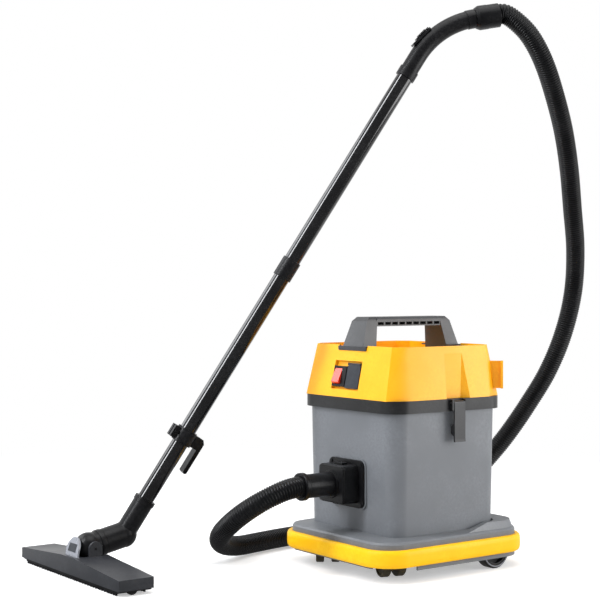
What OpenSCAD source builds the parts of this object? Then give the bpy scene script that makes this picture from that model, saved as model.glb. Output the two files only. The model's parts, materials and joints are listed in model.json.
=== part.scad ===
// Tub vacuum cleaner on castors, with its hose, wand and floor nozzle.
// Millimetres, +Z up. The hose inlet and the switch face -Y.

/* [Base] */
// Width of the base across the wheels
base_w = 354; // [346:1:370]
// Distance from the machine's middle to the front edge of the base
base_front = 193; // [188:1:205]
// Distance from the machine's middle to the rear edge of the base
base_rear = 201; // [198:1:222]
// Corner radius of the base in plan
base_corner = 56; // [46:1:64]
// Wall thickness of the base moulding
base_wall = 3.5; // [2.5:0.5:4]
// Height of the base's upper face, on which the tub stands
base_top = 88; // [88:1:100]
// Height of the rear shelf above the upper face
shelf_rise = 12; // [6:1:14]
// Height of the lower edge of the side skirts
skirt_z = 24; // [18:1:26]
// Height of the lower edge of the front skirt
front_skirt_z = 30; // [26:1:32]
// Height of the bumper's lower edge
bumper_z = 34; // [30:1:36]
// Height of the bumper band
bumper_h = 36; // [28:1:38]
// How far the bumper stands out from the base
bumper_out = 12; // [8:0.5:13]
// Width of the wand's parking slot in the rear shelf
slot_w = 26; // [22:0.5:34]
// Depth of the parking slot, front to back
slot_d = 15; // [13:0.5:18]

/* [Wheels] */
// Radius of the rear wheels
rear_wheel_r = 40; // [34:0.5:40.5]
// Width of the rear wheels
rear_wheel_w = 25; // [18:0.5:28]
// Gap between the rear wheels and the side skirts
track_gap = 5; // [4.6:0.1:8]
// Distance of the rear axle in front of the base's rear edge
axle_in = 78; // [74:1:84]
// Radius of the rear axle
rear_axle_r = 6; // [4:0.5:8]
// Thickness of the rear tyres
tyre_t = 7; // [5:0.5:10]
// Radius of the castor wheels
castor_r = 25; // [22:0.5:26]
// Width of one castor wheel
castor_wheel_w = 18; // [14:0.5:19]
// Distance between the middles of a castor's twin wheels
castor_pitch = 34; // [33:0.5:36]
// Distance of the castor axle behind the swivel stem
castor_trail = 16; // [12:0.5:18]
// Distance of each castor stem from the side of the base
castor_in = 63; // [62:1:70]
// Distance of each castor stem behind the front edge of the base
castor_back = 77; // [74:1:84]
// Radius of the castor stems
stem_r = 5; // [4:0.5:7]

/* [Tub] */
// Width of the tub at its mouth
tub_w = 308; // [300:1:309]
// Depth of the tub at its mouth
tub_d = 296; // [284:1:300]
// Height of the tub
tub_h = 260; // [240:1:300]
// How much each side of the tub draws in towards its floor
tub_draft = 5; // [0:0.5:5]
// Corner radius of the tub in plan
tub_corner = 38; // [30:1:48]
// Wall thickness of the tub
tub_wall = 3.5; // [2.5:0.5:5]
// Thickness of the rubber seal on the tub's rim
seal_t = 3; // [2:0.5:5]

/* [Inlet] */
// Height of the inlet's middle above the floor
inlet_z = 188; // [180:1:205]
// Width of the inlet flange
flange_w = 116; // [108:1:126]
// Height of the inlet flange
flange_h = 100; // [96:1:108]
// Thickness of the inlet flange
flange_t = 5; // [3:0.5:8]
// Width of the square connector block
block_w = 86; // [76:1:88]
// Height of the connector block
block_h = 80; // [74:1:82]
// Length of the connector block
block_len = 40; // [34:1:46]
// Radius of the air passage through the inlet
passage_r = 18; // [16:0.5:19]
// Radius of the hose cuff
cuff_r = 25; // [24:0.5:28]
// Distance from the connector block to the end of the hose cuff
cuff_len = 81; // [70:1:95]
// Radius of the bead at the hose cuff's end
cuff_bead_r = 29; // [28.5:0.5:32]

/* [Head] */
// How far the dark ring under the head stands out from the tub's sides
ring_out = 8; // [7:0.5:10]
// Height of the dark ring
ring_h = 26; // [22:1:32]
// Radius of the dark ring's corners in plan
ring_corner = 44; // [36:1:50]
// How far the foot of the yellow cover stands in from the ring
cover_in = 1; // [0.5:0.5:4]
// How far each side of the cover leans in towards its top
side_lean = 10; // [6:0.5:14]
// How far the front and the rear of the cover lean in towards its top
front_lean = 24; // [20:0.5:28]
// Height of the yellow cover
cover_h = 110; // [106:1:125]
// Width of the cover's corner facets along the front, at the foot
facet_foot = 24; // [16:1:34]
// Width of the cover's corner facets along the front, at the top
facet_top = 23; // [16:1:30]
// Width of the cover's corner facets along the sides, at the foot
facet_side_foot = 50; // [36:1:56]
// Width of the cover's corner facets along the sides, at the top
facet_side_top = 26; // [20:1:34]
// Wall thickness of the yellow cover
cover_wall = 3.5; // [2.5:0.5:4]
// Depth of the tray in the top of the cover
tray_depth = 28; // [20:1:30]
// Width of the handle's grip
grip_w = 52; // [40:1:60]
// Thickness of the handle's grip
grip_t = 20; // [16:1:24]
// Height of the grip's upper face above the cover's rim
grip_rise = 60; // [54:1:80]
// Width of the handle's posts where they meet the cover
post_w = 70; // [64:1:84]
// Clear length of the handle's opening
grip_len = 178; // [160:1:184]
// Width of the switch recess
recess_w = 92; // [90:1:110]
// Height of the switch recess
recess_h = 62; // [60:1:64]
// Width of the rocker switch
rocker_w = 24; // [18:1:26]
// Height of the rocker switch
rocker_h = 34; // [28:1:36]
// Width of the flap over the socket
flap_w = 44; // [38:1:46]
// Height of the flap over the socket
flap_h = 55; // [48:1:57]
// Height of the cable hooks
hook_h = 59; // [50:1:66]
// How far the cable hooks reach out from the cover
hook_out = 21; // [17:1:25]

/* [Latches] */
// Width of the latch levers
latch_w = 30; // [24:1:36]
// Length of the latch levers below their pins
latch_len = 82; // [76:1:90]
// Distance of the latches behind the machine's middle
latch_y = 16; // [0:1:30]
// Radius of the latch pins
latch_pin_r = 2.5; // [2:0.25:2.75]

/* [Motor and filter] */
// Radius of the motor's fan housing
motor_r = 68; // [60:1:74]
// Radius of the motor's field housing
field_r = 48; // [42:1:54]
// Radius of the motor shaft
shaft_r = 4; // [3:0.5:6]
// Radius of the filter cage at its mouth
cage_r = 78; // [66:1:82]
// Depth of the filter cage
cage_h = 92; // [80:1:100]
// Thickness of the cloth filter
cloth_t = 3; // [2:0.5:5]

/* [Wand] */
// Outer radius of the wand tubes
tube_r = 18; // [16:0.25:18]
// Wall thickness of the wand tubes
tube_wall = 2; // [1.5:0.25:2.5]
// Length of the lower tube that shows
lower_len = 580; // [480:1:620]
// Length of the upper tube that shows
upper_len = 480; // [440:1:560]
// How far a tube goes into the next piece
tube_insert = 40; // [30:1:44]
// Outer radius of the socket collars
collar_r = 21.5; // [20.5:0.25:23]
// Lean of the wand from upright
wand_tilt = 31.7; // [29:0.1:33]
// Direction in which the wand leans, from +X towards +Y
wand_turn = 60; // [58:0.5:62]
// Radius of the bend in the hand tube
hand_bend_r = 184; // [170:1:195]
// Angle of the bend in the hand tube
hand_bend = 49; // [45:0.5:56]
// Length of the straight part below the bend
hand_straight = 52; // [46:1:60]
// Outer radius of the hand tube
hand_r = 19.25; // [18.75:0.25:20.5]
// Length of the swivel collar at the hose end
swivel_len = 58; // [54:1:60]
// Outer radius of the swivel collar
swivel_r = 26.5; // [25:0.5:28]
// Distance of the parking clip up the lower tube
clip_at = 139; // [110:1:300]
// Length of the parking clip's collar
clip_h = 32; // [26:1:38]
// Distance of the parking hook's leg from the tube's middle
hook_reach = 44; // [38:1:50]
// Length of the parking hook, arm and leg
hook_leg = 84; // [70:1:96]

/* [Nozzle] */
// Length of the nozzle, side to side
nozzle_len = 440; // [400:1:450]
// Depth of the nozzle, front to back
nozzle_d = 78; // [77:1:84]
// Height of the nozzle at its ends
nozzle_end_h = 33; // [31:1:36]
// Height of the nozzle in its middle
nozzle_top_h = 47; // [44:1:49]
// Wall thickness of the nozzle body
nozzle_wall = 3; // [2:0.5:3]
// Radius of the neck's dome
dome_r = 30; // [28:0.5:31]
// Width of the neck's dome between its flat sides
dome_w = 54; // [50:1:56]
// Height of the neck's pivot above the floor
pivot_z = 62; // [60:0.5:64]
// Distance from the neck's pivot to the elbow's bend
neck_len = 85; // [80:1:92]
// Pitch of the neck at rest
neck_pitch = 11.5; // [9:0.5:14]
// Radius of the neck's pivot pins
pivot_r = 3; // [2:0.25:4]
// Radius of the nozzle's wheels
nozzle_wheel_r = 12; // [10:0.5:12.5]

/* [Hose] */
// Outer radius of the hose over its ribs
hose_r = 22; // [20:0.25:22]
// Inner radius of the hose
hose_bore_r = 17.25; // [15:0.25:17.5]
// Number of ribs
ribs = 188; // [100:4:200]
// Depth of a rib
rib_depth = 2.25; // [1.5:0.25:2.5]

/* [Clearances] */
// Radial gap of a pin or shaft in its bore
run_gap = 0.08; // [0.02:0.01:0.1]
// Radial gap of a tube in its socket
tube_gap = 0.2; // [0.1:0.05:0.5]
// Gap between pieces that move past each other
move_gap = 1; // [0.5:0.1:1.5]
// Gap around a screw's shank
screw_gap = 0.1; // [0.05:0.05:0.3]

/* [Hidden] */
$fn = 96;
blend_fn = 32;
eps = 0.01;
far = 400;

// Plan sizes of the head, which follow the tub
ring_short = 8;                             // how much less deep than wide the ring is
ring_w = tub_w + 2 * ring_out;
ring_d = ring_w - ring_short;
cover_w = ring_w - 2 * cover_in;
cover_d = ring_d - 2 * cover_in;
cover_top_w = cover_w - 2 * side_lean;
cover_top_d = cover_d - 2 * front_lean;
// Heights of the stack
shelf_top = base_top + shelf_rise;
tub_top = base_top + tub_h;
plate_z = tub_top + seal_t;                 // underside of the motor plate
ring_lap = 6;                               // how far the ring hangs over the tub's rim
ring_z = tub_top - ring_lap;
cover_z = ring_z + ring_h;
cover_top = cover_z + cover_h;
tray_z = cover_top - tray_depth;
grip_top = cover_top + grip_rise;
front_slope = atan(front_lean / cover_h);
function cover_front(z) = cover_d / 2 - front_lean * (z - cover_z) / cover_h;
function cover_side(z) = cover_w / 2 - side_lean * (z - cover_z) / cover_h;

// Nozzle, neck and wand
nozzle_x = -270;                            // the nozzle's middle, from the machine's middle
nozzle_y = -670;                            // its front face
pivot = [nozzle_x, nozzle_y + 48, pivot_z];
bend = pivot + neck_len * [0, cos(neck_pitch), sin(neck_pitch)];
elbow_len = 88;                             // from the bend to the lip of the elbow's socket
lower_top = elbow_len + lower_len;
upper_top = lower_top + upper_len;

// Frame: origin under the middle of the box of everything but the hose
box_left = nozzle_x - nozzle_len / 2;
box_right = base_w / 2 + bumper_out;
box_front = nozzle_y;
box_rear = base_rear + bumper_out;
mid_x = (box_left + box_right) / 2;
mid_y = (box_front + box_rear) / 2;

module at_frame() { translate([-mid_x, -mid_y, 0]) children(); }
module both_sides() {
    children();
    mirror([1, 0, 0]) children();
}
// Along the wand: z runs up the wand from the bend
module on_wand(s) { translate(bend) rotate([0, wand_tilt, wand_turn]) translate([0, 0, s]) children(); }
// Along the neck: z runs from the pivot to the bend
module on_neck(s) { translate(pivot) rotate([neck_pitch - 90, 0, 0]) translate([0, 0, s]) children(); }
// On the sloping front of the cover: x sideways, y up the face, z outwards
module on_front(x, z) {
    translate([x, -cover_front(z), z]) rotate([90 - front_slope, 0, 0]) children();
}
module on_rear(x, z) { rotate([0, 0, 180]) on_front(-x, z) children(); }

module rounded(w, d, r) {
    square([w - 2 * r, d], center = true);
    square([w, d - 2 * r], center = true);
    for (x = [-1, 1], y = [-1, 1]) translate([x * (w / 2 - r), y * (d / 2 - r)]) circle(r);
}
// f is the facets' width along x, g along y
module facetted(w, d, f, g) {
    polygon([[w / 2, d / 2 - g], [w / 2 - f, d / 2], [f - w / 2, d / 2], [-w / 2, d / 2 - g],
             [-w / 2, g - d / 2], [f - w / 2, -d / 2], [w / 2 - f, -d / 2], [w / 2, g - d / 2]]);
}
module slab(z0, z1) { translate([0, 0, z0]) linear_extrude(z1 - z0) children(); }
module rod(r, z0, z1) { translate([0, 0, z0]) cylinder(r = r, h = z1 - z0); }
module pipe(r, bore, z0, z1) {
    difference() {
        rod(r, z0, z1);
        rod(bore, z0 - 1, z1 + 1);
    }
}
module block(x, y, z) { translate([x[0], y[0], z[0]]) cube([x[1] - x[0], y[1] - y[0], z[1] - z[0]]); }
module box(w, h, z0, z1) { translate([-w / 2, -h / 2, z0]) cube([w, h, z1 - z0]); }

// ---------------------------------------------------------------- base
base_edge = 8;                              // fall of the base's upper face to its edge
rim_round = 3;
base_fall = 20;                             // how far in the upper face starts to fall
shelf_y = 98;                               // front end of the raised rear shelf
ramp_y = 36;                                // where the ramps up to it start
shelf_inset = 5;
shelf_lean = 6;
slot_y = (tub_d / 2 + base_rear) / 2 + 1;
slot_deep = 20;
castor_x = base_w / 2 - castor_in;
castor_y = base_front - castor_back;
rear_axle_y = base_rear - axle_in;
rear_track = base_w - 2 * (base_wall + track_gap);
boss_r = stem_r + 5;
stem_top = base_top - 8;
fork_top = 2 * castor_r + 8;
axle_z = rear_wheel_r;
wheel_in = rear_track / 2 - rear_wheel_w;
lug_w = 12;
lug_x = wheel_in - move_gap - lug_w / 2;
lug_r = 13;
base_screw_r = 2.5;
base_screw_x = 100;
base_screw_y = 96;
plate_t = 4;
corner_x = castor_x + 20;                   // the skirts stop here, round the castors
corner_y = castor_y - 10;
skirt_cut = bumper_z + 2;

module base_plan(inset) {
    translate([0, (base_rear - base_front) / 2])
        rounded(base_w - 2 * inset, base_front + base_rear - 2 * inset, base_corner - inset);
}
module tub_plan(inset) { rounded(tub_w - 2 * inset, tub_d - 2 * inset, tub_corner - inset); }

module rear_part(inset, y0) intersection() {
    base_plan(inset, $fn = blend_fn * 2);
    translate([0, y0 + far / 2]) square(far, center = true);
}
module castor_base() at_frame() color("#8b8f95") {
    difference() {
        union() {
            slab(skirt_z, base_top - base_edge) base_plan(0);
            hull() {
                slab(base_top - base_edge - eps, base_top - base_edge) base_plan(0, $fn = blend_fn * 2);
                slab(base_top - base_edge / 2 - eps, base_top - base_edge / 2)
                    base_plan(rim_round, $fn = blend_fn * 2);
                slab(base_top - eps, base_top) base_plan(base_fall, $fn = blend_fn * 2);
            }
            // the rear shelf, with a ramp up to it on each side of the tub
            hull() {
                slab(base_top - base_edge / 2 - eps, base_top - base_edge / 2) rear_part(shelf_inset, ramp_y);
                slab(shelf_top - eps, shelf_top) rear_part(shelf_inset + shelf_lean, shelf_y);
            }
        }
        slab(skirt_z - 1, base_top - base_edge + move_gap) base_plan(base_wall);
        slab(skirt_z, base_top - plate_t) base_plan(base_fall);
        slab(base_top - base_edge - 6, shelf_top - plate_t) intersection() {
            base_plan(shelf_inset + shelf_lean + base_wall);
            translate([0, tub_d / 2 + plate_t + far / 2]) square(far, center = true);
        }
        slab(base_top, shelf_top + 1) tub_plan(-0.5);
        block([-base_w, base_w], [-base_front - 1, 12 - base_front], [0, front_skirt_z]);
        for (s = [-1, 1]) {
            translate([s * (corner_x + far / 2), -corner_y - far / 2, 0])
                cube([far, far, 2 * skirt_cut], center = true);
            for (y = [-1, 1]) translate([s * base_screw_x, y * base_screw_y, 0])
                rod(base_screw_r + screw_gap, skirt_z, shelf_top + 1);
        }
        translate([0, slot_y, shelf_top]) cube([slot_w, slot_d, 2 * slot_deep], center = true);
    }
    for (s = [-1, 1]) {
        // stem bosses of the castors
        translate([s * castor_x, -castor_y, 0]) {
            pipe(boss_r, stem_r + run_gap, fork_top + move_gap, stem_top);
            rod(boss_r, stem_top, base_top - plate_t);
        }
        // lugs of the rear axle
        difference() {
            block([s * lug_x - lug_w / 2, s * lug_x + lug_w / 2], [rear_axle_y - lug_r, rear_axle_y + lug_r],
                  [axle_z - lug_r, base_top - plate_t]);
            translate([s * lug_x, rear_axle_y, axle_z]) rotate([0, 90, 0])
                cylinder(r = rear_axle_r + run_gap, h = 2 * lug_w, center = true);
        }
    }
}

module bumper() at_frame() color("#f5b800") difference() {
    hull() for (p = [[0.4, 0], [0.16, 0.08], [0.03, 0.2], [0, 0.34]])
        slab(bumper_z + p[1] * bumper_h, bumper_z + (1 - p[1]) * bumper_h)
            base_plan((p[0] - 1) * bumper_out, $fn = blend_fn * 2);
    slab(bumper_z - 1, bumper_z + bumper_h + 1) base_plan(0);
}

module base_screws() at_frame() color("silver")
    for (x = [-1, 1], y = [-1, 1]) translate([x * base_screw_x, y * base_screw_y, 0]) {
        rod(base_screw_r, base_top - plate_t, base_top + tub_wall);
        rod(base_screw_r * 2, base_top - plate_t - 3, base_top - plate_t);
    }

cap_t = 3;
axle_half = rear_track / 2 + move_gap;
module on_axle() translate([0, rear_axle_y, axle_z]) rotate([0, 90, 0]) children();
module rear_axle() at_frame() color("silver") on_axle() rod(rear_axle_r, -axle_half, axle_half);
module axle_caps() at_frame() color("#303236") on_axle() {
    rod(rear_axle_r + 3, axle_half, axle_half + cap_t);
    rod(rear_axle_r + 3, -axle_half - cap_t, -axle_half);
}
hub_r = rear_wheel_r - tyre_t;
hub_mid = wheel_in + rear_wheel_w / 2;
module rear_hub() on_axle() difference() {
    union() {
        pipe(hub_r, hub_r - 4, wheel_in + 1, rear_track / 2 - 1);
        rod(hub_r - 3, hub_mid - 2, hub_mid + 2);
        rod(rear_axle_r + 4, wheel_in, rear_track / 2);
    }
    rod(rear_axle_r + run_gap, wheel_in - 1, rear_track / 2 + 1);
}
module rear_tread() on_axle() rotate_extrude() translate([hub_r, wheel_in])
    polygon([[0, 0], [tyre_t - 3, 0], [tyre_t, 3], [tyre_t, rear_wheel_w - 3],
             [tyre_t - 3, rear_wheel_w], [0, rear_wheel_w]]);
module rear_wheel_right() at_frame() color("#4a4d52") rear_hub();
module rear_wheel_left() at_frame() color("#4a4d52") mirror([1, 0, 0]) rear_hub();
module rear_tyre_right() at_frame() color("#3a3b3d") rear_tread();
module rear_tyre_left() at_frame() color("#3a3b3d") mirror([1, 0, 0]) rear_tread();

// a castor in its own frame: the stem on z, the wheels trailing along -y
castor_turn_left = 54;
castor_turn_right = 105;
castor_axle_r = 3;
web_w = castor_pitch - castor_wheel_w - 2 * move_gap;
wheel_bevel = 2;
module castor_at(s) translate([s * castor_x, -castor_y, 0])
    rotate([0, 0, s > 0 ? -castor_turn_right : castor_turn_left]) children();
module castor_fork() {
    rod(stem_r, fork_top - 1, stem_top - 1);
    rod(boss_r, fork_top - 4, fork_top);
    difference() {
        translate([-web_w / 2, 0, 0]) rotate([90, 0, 90]) linear_extrude(web_w)
            polygon([[boss_r - 1, fork_top - 4 + eps], [boss_r - 3, fork_top - 12],
                     [-castor_trail + 7, castor_r - 7], [-castor_trail - 7, castor_r - 7],
                     [-castor_trail - 9, castor_r + 6], [-castor_trail - 4, fork_top - 4 + eps]]);
        translate([0, -castor_trail, castor_r]) rotate([0, 90, 0]) rod(castor_axle_r, -far, far);
    }
    translate([0, -castor_trail, castor_r]) rotate([0, 90, 0])
        cylinder(r = castor_axle_r, h = castor_pitch + castor_wheel_w - 6, center = true);
}
module castor_wheel() difference() {
    rotate_extrude() difference() {
        translate([castor_axle_r + run_gap, -castor_wheel_w / 2])
            square([castor_r - castor_axle_r - run_gap, castor_wheel_w]);
        for (y = [-1, 1]) translate([castor_r, y * castor_wheel_w / 2]) rotate(45)
            square(wheel_bevel * sqrt(2), center = true);
    }
    pipe(castor_r - 5, castor_axle_r + 5, castor_wheel_w / 2 - 3, castor_wheel_w);
}
module castor_wheels() translate([0, -castor_trail, castor_r]) rotate([0, 90, 0]) {
    translate([0, 0, castor_pitch / 2]) castor_wheel();
    translate([0, 0, -castor_pitch / 2]) rotate([180, 0, 0]) castor_wheel();
}
module castor_fork_left() at_frame() color("#27282a") castor_at(-1) castor_fork();
module castor_fork_right() at_frame() color("#27282a") castor_at(1) castor_fork();
module castor_wheels_left() at_frame() color("#5d5a52") castor_at(-1) castor_wheels();
module castor_wheels_right() at_frame() color("#5d5a52") castor_at(1) castor_wheels();

// ---------------------------------------------------------------- tub and inlet
inlet_y = tub_d / 2 + 1;                    // face of the pad that carries the inlet
spigot_r = passage_r + 3;
flange_screw_x = flange_w / 2 - 8;
flange_screw_z = flange_h / 2 - 8;
flange_screw_r = 2;
spigot_in = 22;                             // how far the flange's spigot reaches into the tub
catch_h = 10;
catch_z = cover_z - latch_len + 16;
catch_x = tub_w / 2 + 4;
ledge_z = tub_top - 12;                     // ledge for the cloth filter's frame
ledge_w = 6;
frame_t = 3;
module on_inlet() translate([0, 0, inlet_z]) rotate([90, 0, 0]) children();

module tub() at_frame() color("#8b8f95") difference() {
    union() {
        difference() {
            hull() {
                slab(tub_top - eps, tub_top) tub_plan(0, $fn = blend_fn * 2);
                slab(base_top, base_top + eps) tub_plan(tub_draft, $fn = blend_fn * 2);
            }
            hull() {
                slab(tub_top, tub_top + eps) tub_plan(tub_wall, $fn = blend_fn * 2);
                slab(base_top + tub_wall, base_top + tub_wall + eps)
                    tub_plan(tub_draft + tub_wall, $fn = blend_fn * 2);
            }
        }
        slab(ledge_z, ledge_z + 3) difference() {
            tub_plan(1.5);
            tub_plan(tub_wall + ledge_w);
        }
        // pad behind the inlet flange
        on_inlet() slab(tub_d / 2 - tub_draft - tub_wall, inlet_y) rounded(flange_w + 6, flange_h + 6, 16);
        // catches of the two latches
        both_sides() block([catch_x - 8, catch_x], [latch_y - latch_w / 2 + 4, latch_y + latch_w / 2 - 4],
            [catch_z, catch_z + catch_h]);
    }
    on_inlet() {
        rod(spigot_r + tube_gap, 0, inlet_y + 1);
        for (x = [-1, 1], z = [-1, 1]) translate([x * flange_screw_x, z * flange_screw_z, 0])
            rod(flange_screw_r + screw_gap, inlet_y - 9, inlet_y + 1);
    }
    for (x = [-1, 1], y = [-1, 1]) translate([x * base_screw_x, y * base_screw_y, 0])
        rod(base_screw_r + screw_gap, base_top - 1, base_top + tub_wall + 1);
}

module tub_seal() at_frame() color("#1c1c1d") slab(tub_top, plate_z) difference() {
    tub_plan(0);
    tub_plan(tub_wall + 2);
}

module inlet_flange() at_frame() color("#1f2022") on_inlet() difference() {
    union() {
        slab(inlet_y, inlet_y + flange_t) rounded(flange_w, flange_h, 14);
        rod(spigot_r, inlet_y - spigot_in, inlet_y + eps);
    }
    rod(passage_r, 0, far);
    for (x = [-1, 1], z = [-1, 1]) translate([x * flange_screw_x, z * flange_screw_z, 0])
        rod(flange_screw_r + screw_gap, 0, far);
}

module inlet_screws() at_frame() color("silver") on_inlet()
    for (x = [-1, 1], z = [-1, 1]) translate([x * flange_screw_x, z * flange_screw_z, 0]) {
        rod(flange_screw_r, inlet_y - 8, inlet_y + flange_t);
        rod(flange_screw_r * 2, inlet_y + flange_t, inlet_y + flange_t + 2);
    }

block_y = inlet_y + flange_t;
block_end = block_y + block_len;
tab_w = 26;
tab_len = 14;
tab_deep = 12;
tab_travel = 3;
tab_y = block_y + 6;
module connector_block() at_frame() color("#1f2022") on_inlet() difference() {
    union() {
        slab(block_y, block_end - 4) rounded(block_w, block_h, 8);
        slab(block_end - 4, block_end) rounded(block_w - 4, block_h - 4, 6);
        rod(cuff_r + 4, block_end, block_end + 4);
    }
    rod(passage_r, 0, far);
    // pocket of the release tab
    block([-(tab_w + move_gap) / 2, (tab_w + move_gap) / 2], [block_h / 2 - tab_deep, block_h],
          [tab_y - move_gap / 2, tab_y + tab_len + move_gap / 2]);
}
module release_tab() at_frame() color("#2a2b2e") on_inlet() block([-tab_w / 2, tab_w / 2],
    [block_h / 2 - tab_deep + tab_travel + move_gap / 2, block_h / 2 + 4], [tab_y, tab_y + tab_len]);

cuff_y = block_end + 4;
cuff_end = block_end + cuff_len;
hose_socket = 40;                           // how deep the hose sits in its cuff
module hose_cuff() at_frame() color("#1a1b1c") on_inlet() difference() {
    union() {
        rod(cuff_r, cuff_y, cuff_end);
        translate([0, 0, cuff_end - 12]) rotate_extrude() polygon([[cuff_r - 1, 0], [cuff_bead_r - 1, 0],
            [cuff_bead_r, 2], [cuff_bead_r, 10], [cuff_bead_r - 1, 12], [cuff_r - 1, 12]]);
    }
    rod(passage_r, cuff_y - 1, cuff_end + 1);
    rod(hose_r + tube_gap, cuff_end - hose_socket, cuff_end + 1);
}

// ---------------------------------------------------------------- hose
// Middle line of the hose from its cuff to the swivel collar, measured from the machine's middle
route = [
    [0, -235, 188], [0, -258, 188], [0, -280, 188], [-3, -306, 184], [-14, -335, 172], [-34, -361, 154],
    [-62, -378, 132], [-98, -384, 107], [-136, -378, 84], [-172, -361, 64], [-205, -333, 47],
    [-234, -296, 34], [-258, -250, 26], [-277, -195, 24], [-293, -115, 24], [-303, -20, 24],
    [-305, 80, 24], [-298, 165, 26], [-281, 238, 36], [-256, 296, 58], [-225, 345, 92], [-192, 384, 138],
    [-158, 415, 189], [-124, 442, 244], [-86, 472, 316], [-48, 502, 398], [-14, 520, 490], [14, 524, 590],
    [44, 500, 690], [76, 456, 785], [108, 411, 873], [136, 362, 958], [157, 308, 1040], [167, 268, 1097],
    [167, 234, 1141], [159, 206, 1170], [139, 169, 1190], [126, 146, 1187], [113, 124, 1183]];
legs = len(route) - 1;
end_gap = 0.5;                              // between the hose and the faces that it meets
hand_join = 6;                              // the hand tube's end inside the swivel collar
hose_start = [0, hose_socket - end_gap - cuff_end, inlet_z];
wand_axis = [sin(wand_tilt) * cos(wand_turn), sin(wand_tilt) * sin(wand_turn), cos(wand_tilt)];
wand_down = [cos(wand_tilt) * cos(wand_turn), cos(wand_tilt) * sin(wand_turn), -sin(wand_tilt)];
hand_out = wand_axis * cos(hand_bend) + wand_down * sin(hand_bend);
hand_end = bend + (upper_top + hand_straight) * wand_axis
    + hand_bend_r * (sin(hand_bend) * wand_axis + (1 - cos(hand_bend)) * wand_down);
hose_end = hand_end + (hand_join + end_gap) * hand_out;
start_run = 2 * hose_r;                     // the ends run straight this far
end_run = 60;
// the ends are straight, and the points beside them follow the pieces that the hose meets
function knot(i) = i < 0 ? 2 * knot(0) - knot(1) : i > legs ? 2 * knot(legs) - knot(legs - 1)
    : i < 3 ? hose_start - [0, start_run * i / 2, 0]
    : i > legs - 3 ? hose_end + end_run * (legs - i) / 2 * hand_out
    : route[i] + max(0, 1 - (i - 2) / 9) * (hose_start - route[0])
        + max(0, 1 - (legs - 2 - i) / 9) * (hose_end - route[legs]);
function smooth(a, b, c, d, t) = 0.5 * (2 * b + (c - a) * t + (2 * a - 5 * b + 4 * c - d) * t * t
    + (3 * b - a - 3 * c + d) * t * t * t);
leg_steps = 10;
line = [for (i = [0:legs - 1], k = [0:leg_steps - 1])
    smooth(knot(i - 1), knot(i), knot(i + 1), knot(i + 2), k / leg_steps), knot(legs)];
last = len(line) - 1;
gone = [for (i = 0, s = 0; i <= last; s = s + (i < last ? norm(line[i + 1] - line[i]) : 0), i = i + 1) s];
hose_len = gone[last];
span_at = [for (i = [0:last]) [gone[i], i]];
function place(s) = let (u = lookup(s, span_at), i = min(floor(u), last - 1))
    line[i] * (1 - u + i) + line[i + 1] * (u - i);
sides = 8;
hose_ref = [0.8, 0, -0.6];                  // never along the hose
function ring(s, r) = let (t = place(min(s + 6, hose_len)) - place(max(s - 6, 0)), tn = t / norm(t),
        c = cross(tn, hose_ref), cn = c / norm(c), b = cross(cn, tn))
    [for (j = [0:sides - 1]) place(s) + r * (cos(360 * j / sides) * cn + sin(360 * j / sides) * b)];
rings_out = 2 * ribs + 1;
rings_in = ribs / 2 + 1;
hose_points = concat(
    [for (i = [0:rings_out - 1], r = hose_r - (i % 2 == 0 ? rib_depth : 0),
        p = ring(hose_len * i / (rings_out - 1), r)) p],
    [for (i = [0:rings_in - 1], p = ring(hose_len * i / (rings_in - 1), hose_bore_r)) p]);
in0 = rings_out * sides;
function band(a, b, flip) = [for (j = [0:sides - 1], h = [0, 1]) let (k = (j + 1) % sides,
        f = h == 0 ? [a + j, a + k, b + k] : [a + j, b + k, b + j])
    flip ? [f[2], f[1], f[0]] : f];
hose_faces = [
    for (i = [0:rings_out - 2], f = band(i * sides, (i + 1) * sides, false)) f,
    for (i = [0:rings_in - 2], f = band(in0 + i * sides, in0 + (i + 1) * sides, true)) f,
    for (f = band(0, in0, true)) f,
    for (f = band((rings_out - 1) * sides, in0 + (rings_in - 1) * sides, false)) f];
module hose() at_frame() color("#1b1c1e") polyhedron(hose_points, hose_faces);

// ---------------------------------------------------------------- head
ring_wall = 5;
plate_hole_r = 34;
plate_screw_r = 2;
post_x = cover_w / 2 - 51;                  // posts that hold the cover to the plate
post_y = cover_d / 2 - 53;
post_r = 7;
latch_x = ring_w / 2 + 4;                   // the latch pins
latch_z = cover_z - 8;
eye_r = latch_pin_r + 2;
ear_w = 5;
ear_in = latch_w / 2 + move_gap / 2;
lever_in = 1.5;
lever_out = 5.5;
module ring_plan(inset) { rounded(ring_w - 2 * inset, ring_d - 2 * inset, ring_corner - inset); }
module motor_plate() at_frame() color("#3b3d40") difference() {
    union() {
        difference() {
            slab(ring_z, cover_z) ring_plan(0);
            slab(ring_z - 1, cover_z + 1) ring_plan(ring_wall);
        }
        slab(plate_z, plate_z + plate_t) ring_plan(ring_wall - eps);
        // ears of the latches
        both_sides() for (e = [-1, 1]) translate([0, latch_y + e * (ear_in + ear_w / 2), 0])
            block([ring_w / 2 - 2, latch_x + eye_r], [-ear_w / 2, ear_w / 2], [latch_z - 16, latch_z + 7]);
    }
    rod(plate_hole_r, plate_z - 1, plate_z + plate_t + 1);
    both_sides() {
        translate([latch_x, latch_y, latch_z]) rotate([90, 0, 0]) rod(latch_pin_r, -far, far);
        block([latch_x - eye_r - move_gap, far], [latch_y - ear_in, latch_y + ear_in],
              [ring_z - 1, cover_z + 1]);
    }
    for (x = [-1, 1], y = [-1, 1]) translate([x * post_x, y * post_y, 0])
        rod(plate_screw_r + screw_gap, plate_z - 1, plate_z + plate_t + 1);
}

module latch_pins() at_frame() color("silver") both_sides() translate([latch_x, latch_y, latch_z])
    rotate([90, 0, 0]) rod(latch_pin_r, -ear_in - ear_w, ear_in + ear_w);

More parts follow.
